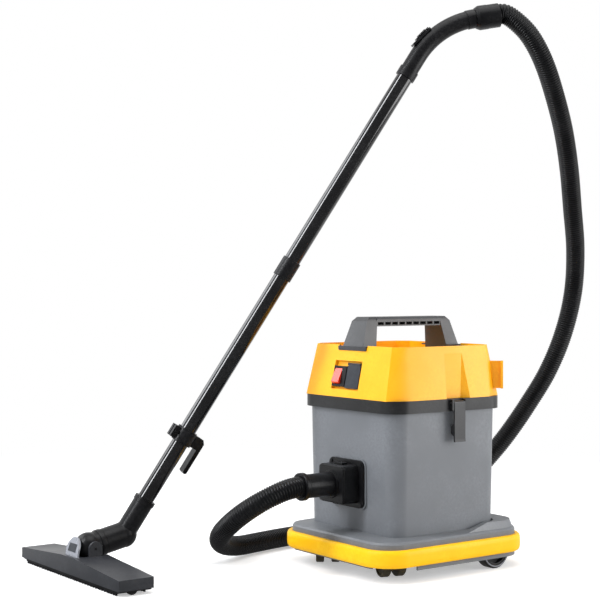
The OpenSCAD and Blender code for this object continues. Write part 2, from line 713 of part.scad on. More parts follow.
nose_in = catch_x + move_gap - latch_x;
nose_z = catch_z - latch_z;
module latch_lever() translate([latch_x, latch_y, latch_z]) rotate([90, 0, 0]) difference() {
    union() {
        rod(eye_r, -latch_w / 2, latch_w / 2);
        translate([0, 0, -latch_w / 2]) linear_extrude(latch_w)
            polygon([[0, 3.5], [lever_out - 1, 2], [lever_out, -1], [lever_out, 8 - latch_len],
                     [lever_out + 1, -latch_len], [lever_in + 1, -latch_len], [lever_in, 8 - latch_len],
                     [lever_in, nose_z - 12], [nose_in, nose_z - 6], [nose_in, nose_z + catch_h - 2],
                     [lever_in, nose_z + catch_h + 4], [lever_in, -8], [-1, -3]]);
    }
    rod(latch_pin_r + run_gap, -far, far);
}
module latch_right() at_frame() color("#3b3d40") latch_lever();
module latch_left() at_frame() color("#3b3d40") mirror([1, 0, 0]) latch_lever();

// the yellow cover: a shell with eight sides and a tray in its top
notch_h = 5;                                // notches in the rim for the handle
tab_half = 47.5;
panel_x = -6;
panel_z = cover_z + 46.5;
recess_d = 8;
rocker_x = panel_x - 30;
flap_x = panel_x + 20;
rocker_body = rocker_w + 6;
frame_l = rocker_body / 2 + 0.5;            // the switch's frame, left and right of the rocker
frame_r = flap_x - flap_w / 2 - move_gap - rocker_x;
exhaust_w = 120;
exhaust_h = 44;
exhaust_z = cover_z + 40;
grille_t = 4;
gland_z = tray_z + 14;
gland_x = 58;
gland_r = 7;
pocket_top = cover_top - 16;
pocket_d = 12;
facet_part = ((cover_w - cover_d) / 2 + facet_side_foot) / (facet_foot + facet_side_foot);
facet_dist = (cover_w / 2 - facet_foot * facet_part) * sqrt(2);   // a facet's foot, from the middle
facet_side = -4.6;
hook_z = cover_z + 16;
hook_t = 5;
hook_half = 13;
hook_end = facet_dist + hook_out - 4;
module cover_form(inset, z0, z1) hull() for (z = [z0, z1 - eps]) let (t = (z - cover_z) / cover_h)
    slab(z, z + eps) facetted(cover_w + (cover_top_w - cover_w) * t - 2 * inset,
        cover_d + (cover_top_d - cover_d) * t - 2 * inset,
        facet_foot + (facet_top - facet_foot) * t - 0.6 * inset,
        facet_side_foot + (facet_side_top - facet_side_foot) * t - 0.6 * inset);
// the hollow above a latch, which deepens downwards; grow is the wall behind it
module latch_pocket(grow) let (y0 = latch_y - 28, y1 = latch_y + 21, out = grow > 0 ? -1 : 2) hull() {
    slab(cover_z - 1, cover_z) polygon([[cover_side(cover_z) + out, y0 - grow],
        [cover_side(cover_z) - pocket_d - grow, y0 - grow], [cover_side(cover_z) - pocket_d - grow, y1 + grow],
        [cover_side(cover_z) + out, y1 + 20 + grow]]);
    slab(pocket_top - eps, pocket_top) polygon([[cover_side(pocket_top) + out, y0 - grow],
        [cover_side(pocket_top) - 0.3 - grow, y0 - grow], [cover_side(pocket_top) - 0.3 - grow, y1 + grow],
        [cover_side(pocket_top) + out, y1 + 1 + grow]]);
}
handle_screw_r = 2.5;
handle_screw_x = 20;
handle_screw_y = cover_top_d / 2 - 18;
module head_cover() at_frame() color("#f7bd10") difference() {
    union() {
        difference() {
            cover_form(0, cover_z, cover_top);
            difference() {
                cover_form(cover_wall, cover_z - 1, cover_top + 1);
                box(far, far, tray_z - cover_wall, tray_z);
            }
        }
        on_front(panel_x, panel_z)
            box(recess_w + 2 * cover_wall, recess_h + 2 * cover_wall, -recess_d - cover_wall, -0.5);
        intersection() {
            both_sides() latch_pocket(cover_wall);
            box(far, far, cover_z, cover_top);
        }
        // hooks for the cable on the rear corners
        both_sides() rotate([0, 0, 45]) {
            block([facet_dist - 16, hook_end], [facet_side - hook_t / 2, facet_side + hook_t / 2],
                  [hook_z, hook_z + hook_h]);
            block([hook_end - hook_t, hook_end], [facet_side - hook_half, facet_side + hook_half],
                  [hook_z, hook_z + hook_h]);
        }
        for (x = [-1, 1], y = [-1, 1]) translate([x * post_x, y * post_y, 0])
            rod(post_r, plate_z + plate_t, tray_z - 1);
    }
    both_sides() latch_pocket(0);
    on_front(panel_x, panel_z) box(recess_w, recess_h, -recess_d, 20);
    on_front(rocker_x, panel_z - 3) box(rocker_body + 2 * tube_gap, rocker_h + 6 + 2 * tube_gap, -30, 0);
    on_front(flap_x, panel_z) translate([0, -4, 0]) rod(brush_bore + 3 + tube_gap, -30, 0);
    box(2 * tab_half + 1, far, cover_top - notch_h, cover_top + 10);
    on_rear(0, exhaust_z) box(exhaust_w, exhaust_h, -20, 20);
    translate([gland_x, 0, gland_z]) rotate([-90, 0, 0]) rod(gland_r + tube_gap, cover_top_d / 2 - 34, far);
    for (x = [-1, 1], y = [-1, 1]) {
        translate([x * handle_screw_x, y * handle_screw_y, 0])
            rod(handle_screw_r + screw_gap, tray_z - 10, tray_z + 1);
        translate([x * post_x, y * post_y, 0]) rod(plate_screw_r + screw_gap, plate_z, plate_z + 24);
    }
}

// handle
post_in = grip_len / 2;
foot_out = cover_top_d / 2 + 1;
foot_in = post_in + 10;
seat_z = cover_top - notch_h;
grip_cells = 9;
module handle_post() hull() {
    block([-post_w / 2, post_w / 2], [foot_in, foot_out], [seat_z, seat_z + 3]);
    block([-grip_w / 2, grip_w / 2], [post_in, post_in + 28], [grip_top - 12, grip_top - 9]);
    block([5 - grip_w / 2, grip_w / 2 - 5], [post_in, post_in + 18], [grip_top - 1, grip_top]);
}
module carry_handle() at_frame() color("#3b3d40") difference() {
    union() {
        for (s = [0, 180]) rotate([0, 0, s]) {
            handle_post();
            block([-post_w / 2, post_w / 2], [foot_in, cover_top_d / 2 - cover_wall - 0.5],
                  [tray_z, seat_z + eps]);
            block([-tab_half, tab_half], [foot_in, foot_out + 2], [seat_z, seat_z + 3]);
            block([-tab_half, tab_half], [cover_front(seat_z - 6) + 0.5, foot_out + 3.5],
                  [seat_z - 6, seat_z + 3]);
        }
        translate([0, post_in + 1, 0]) rotate([90, 0, 0]) linear_extrude(2 * post_in + 2)
            polygon([[-grip_w / 2, grip_top - grip_t], [grip_w / 2, grip_top - grip_t],
                     [grip_w / 2, grip_top - 5], [grip_w / 2 - 5, grip_top], [5 - grip_w / 2, grip_top],
                     [-grip_w / 2, grip_top - 5]]);
    }
    // pockets along the lower half of the grip, and up the inside of the posts
    for (i = [-4:4]) translate([0, i * grip_len / grip_cells, 0])
        block([-grip_w, grip_w], [2 - grip_len / grip_cells / 2, grip_len / grip_cells / 2 - 2],
              [grip_top - grip_t + 3, grip_top - 11]);
    for (x = [-1, 1], y = [-1, 1]) translate([x * handle_screw_x, y * handle_screw_y, 0])
        rod(handle_screw_r + screw_gap, tray_z - 1, tray_z + 15);
}
module handle_screws() at_frame() color("silver")
    for (x = [-1, 1], y = [-1, 1]) translate([x * handle_screw_x, y * handle_screw_y, 0]) {
        rod(handle_screw_r, tray_z - cover_wall, tray_z + 14);
        rod(handle_screw_r * 2, tray_z - cover_wall - 3, tray_z - cover_wall);
    }

// switch and socket
rocker_pivot = -3;                          // height of the rocker's pivot from the cover's face
rocker_pin_r = 2;
brush_bore = 12;
flap_pin_r = 1.5;
flap_t = 4;
flap_hinge_y = flap_h / 2 - 3;
flap_hinge_z = -2.5;
flap_lug = 3;
module switch_housing() at_frame() color("#17181a") on_front(rocker_x, panel_z - 3) difference() {
    union() {
        block([-frame_l, frame_r], [-rocker_h / 2 - 5, rocker_h / 2 + 5], [-recess_d, 1]);
        box(rocker_body, rocker_h + 6, -26, -recess_d + eps);
    }
    box(rocker_w + move_gap, rocker_h + move_gap, -23, 5);
    translate([0, 0, rocker_pivot]) rotate([0, 90, 0])
        rod(rocker_pin_r + run_gap, -rocker_w / 2 - 2.5, rocker_w / 2 + 2.5);
}
module rocker_switch() at_frame() color("#d8301c") on_front(rocker_x, panel_z - 3)
translate([0, 0, rocker_pivot]) {
    rotate([0, 90, 0]) rod(rocker_pin_r, -rocker_w / 2 - 2, rocker_w / 2 + 2);
    translate([-rocker_w / 2, 0, 0]) rotate([90, 0, 90]) linear_extrude(rocker_w) intersection() {
        circle(rocker_h / 2);
        polygon([[-rocker_h / 2, -6], [rocker_h / 2, -6], [rocker_h / 2, 3], [0, 7], [-rocker_h / 2, 11]]);
    }
}
module brush_socket() at_frame() color("#222326") on_front(flap_x, panel_z) {
    difference() {
        union() {
            box(flap_w, flap_h, -recess_d, -recess_d + 1.5);
            translate([0, -4, 0]) rod(brush_bore + 3, -26, -recess_d + 1.5);
            for (s = [-1, 1]) translate([s * (flap_w - flap_lug) / 2, flap_hinge_y, 0])
                box(flap_lug, 6, -recess_d, flap_hinge_z + 2.5);
        }
        translate([0, -4, 0]) rod(brush_bore, -23, 5);
        translate([0, flap_hinge_y, flap_hinge_z]) rotate([0, 90, 0]) rod(flap_pin_r + run_gap, -far, far);
    }
}
module socket_flap() at_frame() color("#2c2f33") on_front(flap_x, panel_z) {
    knuckle = flap_w - 2 * flap_lug - 1;
    translate([0, flap_hinge_y, flap_hinge_z]) rotate([0, 90, 0]) {
        rod(flap_pin_r, -flap_w / 2, flap_w / 2);
        rod(flap_t / 2 + 0.5, -knuckle / 2, knuckle / 2);
    }
    translate([-knuckle / 2, flap_hinge_y - 6, flap_hinge_z - flap_t / 2]) cube([knuckle, 6, flap_t]);
    translate([-flap_w / 2, -flap_h / 2, flap_hinge_z - flap_t / 2])
        cube([flap_w, flap_hinge_y - 4 + flap_h / 2, flap_t]);
}

module cable_gland() at_frame() color("#1a1b1c") difference() {
    union() {
        block([tab_half + 1.5, gland_x + 15], [cover_top_d / 2 - 27, cover_top_d / 2 - cover_wall - 1],
              [tray_z, tray_z + 24]);
        translate([gland_x, 0, gland_z]) rotate([-90, 0, 0]) {
            rod(gland_r, cover_top_d / 2 - 10, cover_front(gland_z) + 4);
            translate([0, 0, cover_front(gland_z) + 4 - eps]) cylinder(r1 = gland_r, r2 = gland_r - 2, h = 14);
        }
    }
    translate([gland_x, 0, gland_z]) rotate([-90, 0, 0]) rod(3.5, 0, far);
}
module exhaust_grille() at_frame() color("#2c2f33") on_rear(0, exhaust_z) difference() {
    box(exhaust_w - 1, exhaust_h - 1, -grille_t, 0);
    for (i = [-3:3]) translate([0, i * 5.6, 0]) box(exhaust_w - 14, 3, -grille_t - 1, 1);
}
module exhaust_filter() at_frame() color("#d9d6cc") on_rear(0, exhaust_z)
    box(exhaust_w - 1, exhaust_h - 1, -grille_t - 10, -grille_t);

// motor
fan_z = plate_z + plate_t + 4;
fan_h = 38;
field_z = fan_z + fan_h;
field_top = tray_z - cover_wall - 8;
field_wall = 12;
module motor_seal() at_frame() color("#1c1c1d") pipe(motor_r - 6, plate_hole_r + 4, plate_z + plate_t, fan_z);
module motor_housing() at_frame() color("#b9bcc0") difference() {
    rod(motor_r, fan_z, field_z);
    rod(motor_r - 2, fan_z + 2, field_z - 2);
    rod(plate_hole_r - 4, fan_z - 1, fan_z + 3);
    rod(shaft_r + 4, field_z - 3, field_z + 1);
    for (a = [0:45:315]) rotate([0, 0, a])
        block([motor_r - 16, motor_r - 5], [-8, 8], [field_z - 3, field_z + 1]);
}
module motor_field() at_frame() color("#6d7075") difference() {
    rod(field_r, field_z, field_top);
    rod(field_r - field_wall, field_z - 1, field_top - 5);
    rod(shaft_r + run_gap, field_z, field_top + 1);
    for (a = [0, 90]) rotate([0, 0, a]) box(far, 30, field_top - 14, field_top - 5);
}
module motor_rotor() at_frame() color("#a9702c") {
    rod(shaft_r, fan_z + 6, field_top - 1);
    for (z = [10, 22]) rod(motor_r - 6, fan_z + z, fan_z + z + 2);
    for (a = [0:45:315]) rotate([0, 0, a]) block([shaft_r + 6, motor_r - 8], [-1, 1], [fan_z + 12, fan_z + 22]);
    rod(field_r - field_wall - 4, field_z + 6, field_top - 18);
    rod(shaft_r + 6, field_top - 18, field_top - 9);
}

// filter
cage_wall = 3;
module filter_cage() at_frame() color("#2c2f33") difference() {
    union() {
        rod(cage_r, plate_z - cage_h, plate_z);
        rod(cage_r + 5, plate_z - 4, plate_z);
    }
    rod(cage_r - cage_wall, plate_z - cage_h + cage_wall, plate_z + 1);
    for (a = [0:30:330]) rotate([0, 0, a])
        block([cage_r - 10, cage_r + 2], [-12, 12], [plate_z - cage_h + 12, plate_z - 16]);
}
cloth_r = cage_r + 10;
module cloth_filter() at_frame() color("#e2e0d8") difference() {
    union() {
        slab(ledge_z + 3, ledge_z + 3 + frame_t) tub_plan(tub_wall + 1);
        rod(cloth_r + cloth_t, plate_z - cage_h - 14, ledge_z + 3 + eps);
    }
    rod(cloth_r, plate_z - cage_h - 14 + cloth_t, ledge_z + frame_t + 4);
}
bag_gap = 40;
bag_corner = 30;
module dust_bag() at_frame() color("#cbb48a") slab(base_top + tub_wall + 2, plate_z - cage_h - 22)
    rounded(tub_w - 2 * bag_gap, tub_d - 2 * bag_gap, bag_corner);

// ---------------------------------------------------------------- wand
hand_bore = hand_r - 2.25;
hand_lip = 18;                              // length of the hand tube's own collar
module on_bend(a) on_wand(upper_top + hand_straight) translate([hand_bend_r, 0, 0]) rotate([0, a, 0])
    translate([-hand_bend_r, 0, 0]) children();
module arc(r, bore, a0, a1) on_wand(upper_top + hand_straight) translate([hand_bend_r, 0, 0])
    rotate([90, 0, 0]) rotate([0, 0, 180 - a1]) rotate_extrude(angle = a1 - a0) translate([hand_bend_r, 0])
        difference() {
            circle(r);
            circle(bore);
        }
module hand_tube() at_frame() color("#232427") {
    on_wand(upper_top) difference() {
        union() {
            rod(collar_r, -2, hand_lip);
            rod(hand_r, 0, hand_straight);
        }
        rod(hand_bore, -3, hand_straight + 1);
        rod(tube_r + tube_gap, -3, tube_insert);
    }
    arc(hand_r, hand_bore, 0, hand_bend);
    arc(hand_r + 1.5, hand_r - 1, hand_bend - 6, hand_bend - 1);
    on_bend(hand_bend) pipe(hand_r, hand_bore, 0, hand_join);
    slide_rail();
}
slide_at = 13;                              // angle of the air slide along the bend
slide_w = 20;
slide_len = 36;
slide_travel = 12;
module slide_rail() on_bend(slide_at) block([-hand_r - 3, 2 - hand_r], [-slide_w / 2 - 3, slide_w / 2 + 3],
    [-slide_len / 2 - slide_travel - 2, slide_len / 2 + 2]);
module air_slide() at_frame() color("#2d2f33") on_bend(slide_at) {
    block([-hand_r - 6, -hand_r - 3 - tube_gap], [-slide_w / 2, slide_w / 2], [-slide_len / 2, slide_len / 2]);
    for (z = [-8, 0, 8])
        block([-hand_r - 8, -hand_r - 6 + eps], [-slide_w / 2, slide_w / 2], [z - 1.5, z + 1.5]);
}
module swivel_collar() at_frame() color("#2a2b2e") on_bend(hand_bend) difference() {
    union() {
        cylinder(r1 = swivel_r - 4, r2 = swivel_r, h = 8);
        rod(swivel_r, 8 - eps, 26);
        rod(swivel_r - 0.5, 26 - eps, swivel_len - 6);
    }
    rod(hand_r + tube_gap, -1, swivel_len);
    rod(hose_r + tube_gap, hand_join, swivel_len);
    rod(hose_r + move_gap, swivel_len - 22, swivel_len);   // room for the hose to start its bend
}
module upper_tube() at_frame() color("#18191b") on_wand(0)
    pipe(tube_r, tube_r - tube_wall, lower_top, upper_top + tube_insert - 1);
module lower_tube() at_frame() color("#18191b") on_wand(0)
    pipe(tube_r, tube_r - tube_wall, elbow_len - tube_insert + 1, lower_top - 1);
module tube_collar() at_frame() color("#232427") on_wand(lower_top)
    pipe(collar_r - 1, tube_r + tube_gap, -30, 14);

hook_turn = 28;
clip_gap = 3;
module parking_clip() at_frame() color("#232427") on_wand(elbow_len + clip_at) rotate([0, 0, hook_turn])
difference() {
    union() {
        rod(collar_r + 1, 0, clip_h);
        block([-collar_r - 14, -collar_r + 4], [-8, 8], [3, clip_h - 3]);
        translate([0, 9, 0]) rotate([90, 0, 0]) linear_extrude(18)
            polygon([[0, 2], [hook_reach - 5, 2], [hook_reach - 5, clip_h - hook_leg],
                     [hook_reach, clip_h - hook_leg - 3], [hook_reach + 5, clip_h - hook_leg],
                     [hook_reach + 5, clip_h - 12], [hook_reach - 2, clip_h - 4], [0, clip_h - 2]]);
    }
    rod(tube_r + tube_gap, -1, clip_h + 1);
    block([-far, 0], [-clip_gap / 2, clip_gap / 2], [-1, clip_h + 1]);
    translate([-collar_r - 7, 0, clip_h / 2]) rotate([90, 0, 0]) rod(2.1, -far, far);
}
module clip_screw() at_frame() color("silver") on_wand(elbow_len + clip_at) rotate([0, 0, hook_turn])
    translate([-collar_r - 7, 0, clip_h / 2]) rotate([90, 0, 0]) {
        rod(2, -8, 8);
        rod(4, 8, 11);
    }

// ---------------------------------------------------------------- nozzle
elbow_r = 27;
wand_socket_r = 22;
elbow_bore = 17;
knuckle = 0.75;                             // how much fuller a bend's ball is than its tubes
ring_s = 21;                                // start of the neck's ring, from the pivot
ring_len = 11;
spigot_len = 24;
neck_spigot_r = 22.5;
module nozzle_elbow() at_frame() color("#1d1e20") difference() {
    union() {
        on_wand(0) {
            rod(wand_socket_r, 0, elbow_len);
            rod(wand_socket_r + 1.5, elbow_len - 10, elbow_len);
        }
        on_neck(0) rod(elbow_r, ring_s + ring_len + move_gap, neck_len);
        translate(bend) sphere(elbow_r + knuckle);
    }
    on_wand(0) {
        rod(elbow_bore, 0, elbow_len + 1);
        rod(tube_r + tube_gap, elbow_len - tube_insert, elbow_len + 1);
    }
    on_neck(0) {
        rod(elbow_bore, 0, neck_len);
        rod(neck_spigot_r + run_gap, 0, ring_s + ring_len + spigot_len + move_gap);
    }
    translate(bend) sphere(elbow_bore + knuckle);
}
module neck_ring() at_frame() color("#1d1e20") on_neck(0)
    pipe(elbow_r + 1.5, neck_spigot_r, ring_s, ring_s + ring_len);
module nozzle_neck() at_frame() color("#232427") difference() {
    union() {
        intersection() {
            translate(pivot) sphere(dome_r);
            translate(pivot) cube([dome_w, far, far], center = true);
        }
        on_neck(0) {
            rod(elbow_r, 0, ring_s);
            rod(neck_spigot_r, 0, ring_s + ring_len + spigot_len);
        }
    }
    on_neck(0) rod(elbow_bore, 0, far);
    translate(pivot) {
        rod(elbow_bore, -far, 0);
        sphere(elbow_bore + knuckle);
        rotate([0, 90, 0]) rod(pivot_r + run_gap, -far, far);
    }
}
cheek_t = 6;
cheek_r = 15;
cheek_in = dome_w / 2 + move_gap;
module neck_pins() at_frame() color("silver") both_pins() rod(pivot_r, elbow_bore + 2, cheek_in + cheek_t);
module both_pins() translate(pivot) for (a = [90, -90]) rotate([0, a, 0]) children();

body_z = 11;                                // lower edge of the nozzle body
sole_z = 8;
sole_t = 3;
mouth_l = nozzle_len - 90;
strip_y = [3.5, nozzle_d - 12];             // front of each brush strip, behind the front face
strip_w = 5;
strip_l = nozzle_len - 30;
wheel_y = 36;
wheel_x = nozzle_len / 2 - 14;
wheel_w = 8;
wheel_pin_r = 2;
pedal_w = 54;
pedal_h = 14;                               // its straight part, above the hinge
pedal_lean = 8;
pedal_hinge = [nozzle_x, nozzle_y + 11, nozzle_top_h - 1];
module at_nozzle() translate([nozzle_x, nozzle_y, 0]) children();
module along_nozzle(l) translate([-l / 2, 0, 0]) rotate([90, 0, 90]) linear_extrude(l) children();
// the body's outline from the front: highest in the middle, lower at both ends
module roof(inset, z0) translate([0, nozzle_d - inset, 0]) rotate([90, 0, 0])
    linear_extrude(nozzle_d - 2 * inset) let (end = nozzle_len / 2 - inset) polygon([[-end, z0],
        [-end, nozzle_end_h - inset], [-pedal_w / 2, nozzle_top_h - inset],
        [pedal_w / 2, nozzle_top_h - inset], [end, nozzle_end_h - inset], [end, z0]]);
module nozzle_body() at_frame() color("#4b4d51") difference() {
    union() {
        at_nozzle() {
            difference() {
                roof(0, body_z);
                roof(nozzle_wall, body_z - 1);
            }
        }
        // cheeks that hold the neck, and the hollow that its dome turns in
        translate(pivot) difference() {
            union() {
                for (s = [-1, 1]) translate([s * (cheek_in + cheek_t / 2), 0, 0]) {
                    rotate([0, 90, 0]) cylinder(r = cheek_r, h = cheek_t, center = true);
                    block([-cheek_t / 2, cheek_t / 2], [-cheek_r, cheek_r], [nozzle_end_h - pivot_z, 0]);
                }
                intersection() {
                    rotate([0, 90, 0]) cylinder(r = dome_r + move_gap + 2, h = 2 * cheek_in + 4, center = true);
                    translate(-pivot) at_nozzle() along_nozzle(100) polygon([[2, body_z + 8],
                        [2, nozzle_top_h - 1], [nozzle_d - 2, nozzle_top_h - 1], [nozzle_d - 2, body_z + 8]]);
                }
            }
        }
    }
    translate(pivot) {
        rotate([0, 90, 0]) {
            cylinder(r = dome_r + move_gap, h = 2 * cheek_in, center = true);
            rod(pivot_r, -far, far);
        }
        // the way through into the neck
        rod(elbow_bore - 1, -pivot_z + body_z, 0);
        // room for the neck behind the dome
        block([-cheek_in, cheek_in], [0, far], [-dome_r + 2, far]);
    }
    // slots of the pedal's lug
    translate(pedal_hinge) {
        rotate([0, 90, 0]) rod(1.5, -pedal_w / 2 - 4, pedal_w / 2 + 4);
        block([-pedal_w / 2 - move_gap, pedal_w / 2 + move_gap], [-3.5, 3.5], [-4.5, far]);
    }
}
module nozzle_sole() at_frame() color("#303236") at_nozzle() difference() {
    union() {
        translate([0, nozzle_d / 2, 0])
            box(nozzle_len - 2 * nozzle_wall - 1, nozzle_d - 2 * nozzle_wall - 1, sole_z, sole_z + sole_t);
        // bearings of the wheels
        for (s = [-1, 1], e = [-1, 1])
            translate([s * wheel_x + e * (wheel_w / 2 + 3), wheel_y, 0]) box(3, 9, sole_z, nozzle_wheel_r + 4);
    }
    translate([0, nozzle_d / 2, 0]) box(mouth_l, 16, 0, far);
    for (y = strip_y) translate([0, y + strip_w / 2, 0]) box(strip_l + 2, strip_w + 1, 0, far);
    for (s = [-1, 1]) translate([s * wheel_x, wheel_y, 0]) box(wheel_w + 3, 2 * nozzle_wheel_r + 3, 0, far);
    translate([0, wheel_y, nozzle_wheel_r]) rotate([0, 90, 0]) rod(wheel_pin_r + run_gap, -far, far);
}
module nozzle_wheel() translate([wheel_x, wheel_y, nozzle_wheel_r]) rotate([0, 90, 0]) {
    rod(nozzle_wheel_r, -wheel_w / 2, wheel_w / 2);
    rod(wheel_pin_r, -wheel_w / 2 - 4, wheel_w / 2 + 4);
}
module nozzle_wheel_right() at_frame() color("#1a1b1c") at_nozzle() nozzle_wheel();
module nozzle_wheel_left() at_frame() color("#1a1b1c") at_nozzle() mirror([1, 0, 0]) nozzle_wheel();

tufts = 41;
tuft_w = 6;
bar_z = body_z + 2;
module brush_strips() at_frame() color("#131314") at_nozzle() for (y = strip_y) translate([0, y, 0]) {
    translate([0, strip_w, 0]) rotate([90, 0, 0]) linear_extrude(strip_w) {
        translate([-strip_l / 2, sole_z - 3]) square([strip_l, bar_z - sole_z + 6]);
        for (i = [0:tufts - 1]) translate([-strip_l / 2 + (strip_l - tuft_w) * i / (tufts - 1), 0])
            square([tuft_w, bar_z]);
    }
    translate([-strip_l / 2, 0, bar_z]) cube([strip_l, strip_w, 4]);
}
module nozzle_pedal() at_frame() color("#b4b7bd") translate(pedal_hinge) {
    rotate([-pedal_lean, 0, 0]) translate([0, 2, 0]) rotate([90, 0, 0]) linear_extrude(4) {
        translate([-pedal_w / 2, -3]) square([pedal_w, pedal_h + 3]);
        translate([0, pedal_h]) intersection() {
            circle(pedal_w / 2);
            translate([0, far / 2]) square(far, center = true);
        }
    }
    rotate([0, 90, 0]) rod(1.4, -pedal_w / 2 - 3, pedal_w / 2 + 3);
}

castor_base();
bumper();
base_screws();
rear_axle();
axle_caps();
rear_wheel_left();
rear_wheel_right();
rear_tyre_left();
rear_tyre_right();
castor_fork_left();
castor_fork_right();
castor_wheels_left();
castor_wheels_right();
tub();
tub_seal();
inlet_flange();
inlet_screws();
connector_block();
release_tab();
hose_cuff();
hose();
motor_plate();
head_cover();
carry_handle();
handle_screws();
switch_housing();
rocker_switch();
brush_socket();
socket_flap();
cable_gland();
exhaust_grille();
exhaust_filter();
latch_left();
latch_right();
latch_pins();
motor_housing();
motor_field();
motor_rotor();
motor_seal();
filter_cage();
cloth_filter();
dust_bag();
swivel_collar();
hand_tube();
air_slide();
upper_tube();
lower_tube();
tube_collar();
parking_clip();
clip_screw();
nozzle_elbow();
neck_ring();
nozzle_neck();
neck_pins();
nozzle_body();
nozzle_sole();
brush_strips();
nozzle_pedal();
nozzle_wheel_left();
nozzle_wheel_right();
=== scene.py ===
"""A tub vacuum cleaner on castors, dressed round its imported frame."""
import json
import math

import bmesh
import bpy
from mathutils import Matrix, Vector


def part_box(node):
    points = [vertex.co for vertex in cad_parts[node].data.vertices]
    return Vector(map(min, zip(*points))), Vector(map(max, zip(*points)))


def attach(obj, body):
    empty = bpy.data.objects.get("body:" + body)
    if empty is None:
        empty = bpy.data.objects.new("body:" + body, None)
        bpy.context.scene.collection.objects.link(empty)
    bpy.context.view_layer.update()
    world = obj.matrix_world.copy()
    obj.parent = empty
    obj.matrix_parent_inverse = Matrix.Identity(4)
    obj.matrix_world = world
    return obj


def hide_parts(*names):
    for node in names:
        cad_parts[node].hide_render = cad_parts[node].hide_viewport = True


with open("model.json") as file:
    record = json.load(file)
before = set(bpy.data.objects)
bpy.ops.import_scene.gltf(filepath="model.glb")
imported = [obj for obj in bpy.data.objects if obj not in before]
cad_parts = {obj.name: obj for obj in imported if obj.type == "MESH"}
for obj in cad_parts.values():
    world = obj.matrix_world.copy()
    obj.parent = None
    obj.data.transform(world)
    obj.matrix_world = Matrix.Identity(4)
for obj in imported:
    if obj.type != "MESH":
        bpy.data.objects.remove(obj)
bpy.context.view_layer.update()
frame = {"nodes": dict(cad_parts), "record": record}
BODY_OF = {node: body for body, nodes in frame["record"]["behaviour"]["bodies"].items() for node in nodes}
SLOT_OF = {part["node"]: part["material_slot"] for part in frame["record"]["subparts"]}
MM = 0.001


def middle(node):
    """The middle of a CAD node's box."""
    low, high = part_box(node)
    return (low + high) / 2


# The machine's middle on the floor, which the route, the camera and the lamps are measured from
MACHINE = Vector((middle("tub_seal").x, middle("tub_seal").y, 0.0))


def at(x, y, z):
    """A place in millimetres from the machine's middle, as a point of the frame."""
    return MACHINE + Vector((x, y, z)) * MM


def add_object(name, data):
    """A new object in the scene for some data."""
    added = bpy.data.objects.new(name, data)
    bpy.context.scene.collection.objects.link(added)
    return added


def aim(thing, place, direction):
    """Puts a camera or a lamp at a place, facing along a direction."""
    thing.location = place
    thing.rotation_mode = "QUATERNION"
    thing.rotation_quaternion = direction.to_track_quat("-Z", "Y")


# ------------------------------------------------------------------ camera
EYE = at(2348.0, -1973.5, 603.4)
LOOK = Vector((-0.8100, 0.5864, 0.0))
RIGHT = Vector((0.5864, 0.8100, 0.0))
LENS = 84.0
SENSOR = 36.0
HORIZON_SHIFT = -0.0227


def make_camera():
    data = bpy.data.cameras.new("camera")
    data.lens = LENS
    data.sensor_width = SENSOR
    data.shift_y = HORIZON_SHIFT
    data.clip_start = 0.1
    data.clip_end = 60.0
    camera = add_object("camera", data)
    aim(camera, EYE, LOOK)
    bpy.context.scene.camera = camera


make_camera()


# ------------------------------------------------------------------ nodes
def feed(tree, socket, value):
    """Gives a socket a plain value, or links another node's output to it."""
    if isinstance(value, bpy.types.NodeSocket):
        tree.links.new(value, socket)
    else:
        socket.default_value = value


def calculate(tree, operation, first, second):
    node = tree.nodes.new("ShaderNodeMath")
    node.operation = operation
    feed(tree, node.inputs[0], first)
    feed(tree, node.inputs[1], second)
    return node.outputs[0]


def map_range(tree, value, start, end):
    """Maps a value's range, start, to the range end. Each is a low and a high."""
    node = tree.nodes.new("ShaderNodeMapRange")
    for label, limit in zip(("From Min", "From Max", "To Min", "To Max"), (*start, *end)):
        feed(tree, node.inputs[label], limit)
    feed(tree, node.inputs["Value"], value)
    return node.outputs["Result"]


def noise(tree, vector, scale, detail, roughness):
    node = tree.nodes.new("ShaderNodeTexNoise")
    for label, value in (("Vector", vector), ("Scale", scale), ("Detail", detail), ("Roughness", roughness)):
        feed(tree, node.inputs[label], value)
    return node.outputs["Fac"]


def mix_colours(tree, factor, first, second):
    """A Mix node for colours, whose colour sockets follow those for numbers and vectors."""
    node = tree.nodes.new("ShaderNodeMix")
    node.data_type = "RGBA"
    feed(tree, node.inputs[0], factor)
    feed(tree, node.inputs[6], first)
    feed(tree, node.inputs[7], second)
    return node.outputs[2]


def new_group(name, numbers, outputs):
    """A node group that takes a Vector and some numbers, and the sockets inside it for its ins and its outs."""
    group = bpy.data.node_groups.new(name, "ShaderNodeTree")
    group.interface.new_socket(name="Vector", in_out="INPUT", socket_type="NodeSocketVector")
    for label, value in numbers.items():
        socket = group.interface.new_socket(name=label, in_out="INPUT", socket_type="NodeSocketFloat")
        socket.default_value = value
    for label in outputs:
        group.interface.new_socket(name=label, in_out="OUTPUT", socket_type="NodeSocketFloat")
    return group, group.nodes.new("NodeGroupInput").outputs, group.nodes.new("NodeGroupOutput").inputs


def use_group(tree, group, vector, **numbers):
    """Places a group in a material. A space in a socket's name is written as a line."""
    node = tree.nodes.new("ShaderNodeGroup")
    node.node_tree = group
    feed(tree, node.inputs["Vector"], vector)
    for label, number in numbers.items():
        feed(tree, node.inputs[label.replace("_", " ")], number)
    return node.outputs


# ------------------------------------------------------------------ materials
GRAIN_SCALE = 1800.0
GRAIN_HEIGHT = 0.00004
MOTTLE_SCALE = 9.0
PATCH_SCALE = 14.0
SCUFF_SCALE = 160.0
SCUFF_GAIN, SCUFF_LIFT = 1.15, 0.01
COAT_ROUGHNESS = 0.08
NOISE_MIDDLE = (0.35, 0.65)


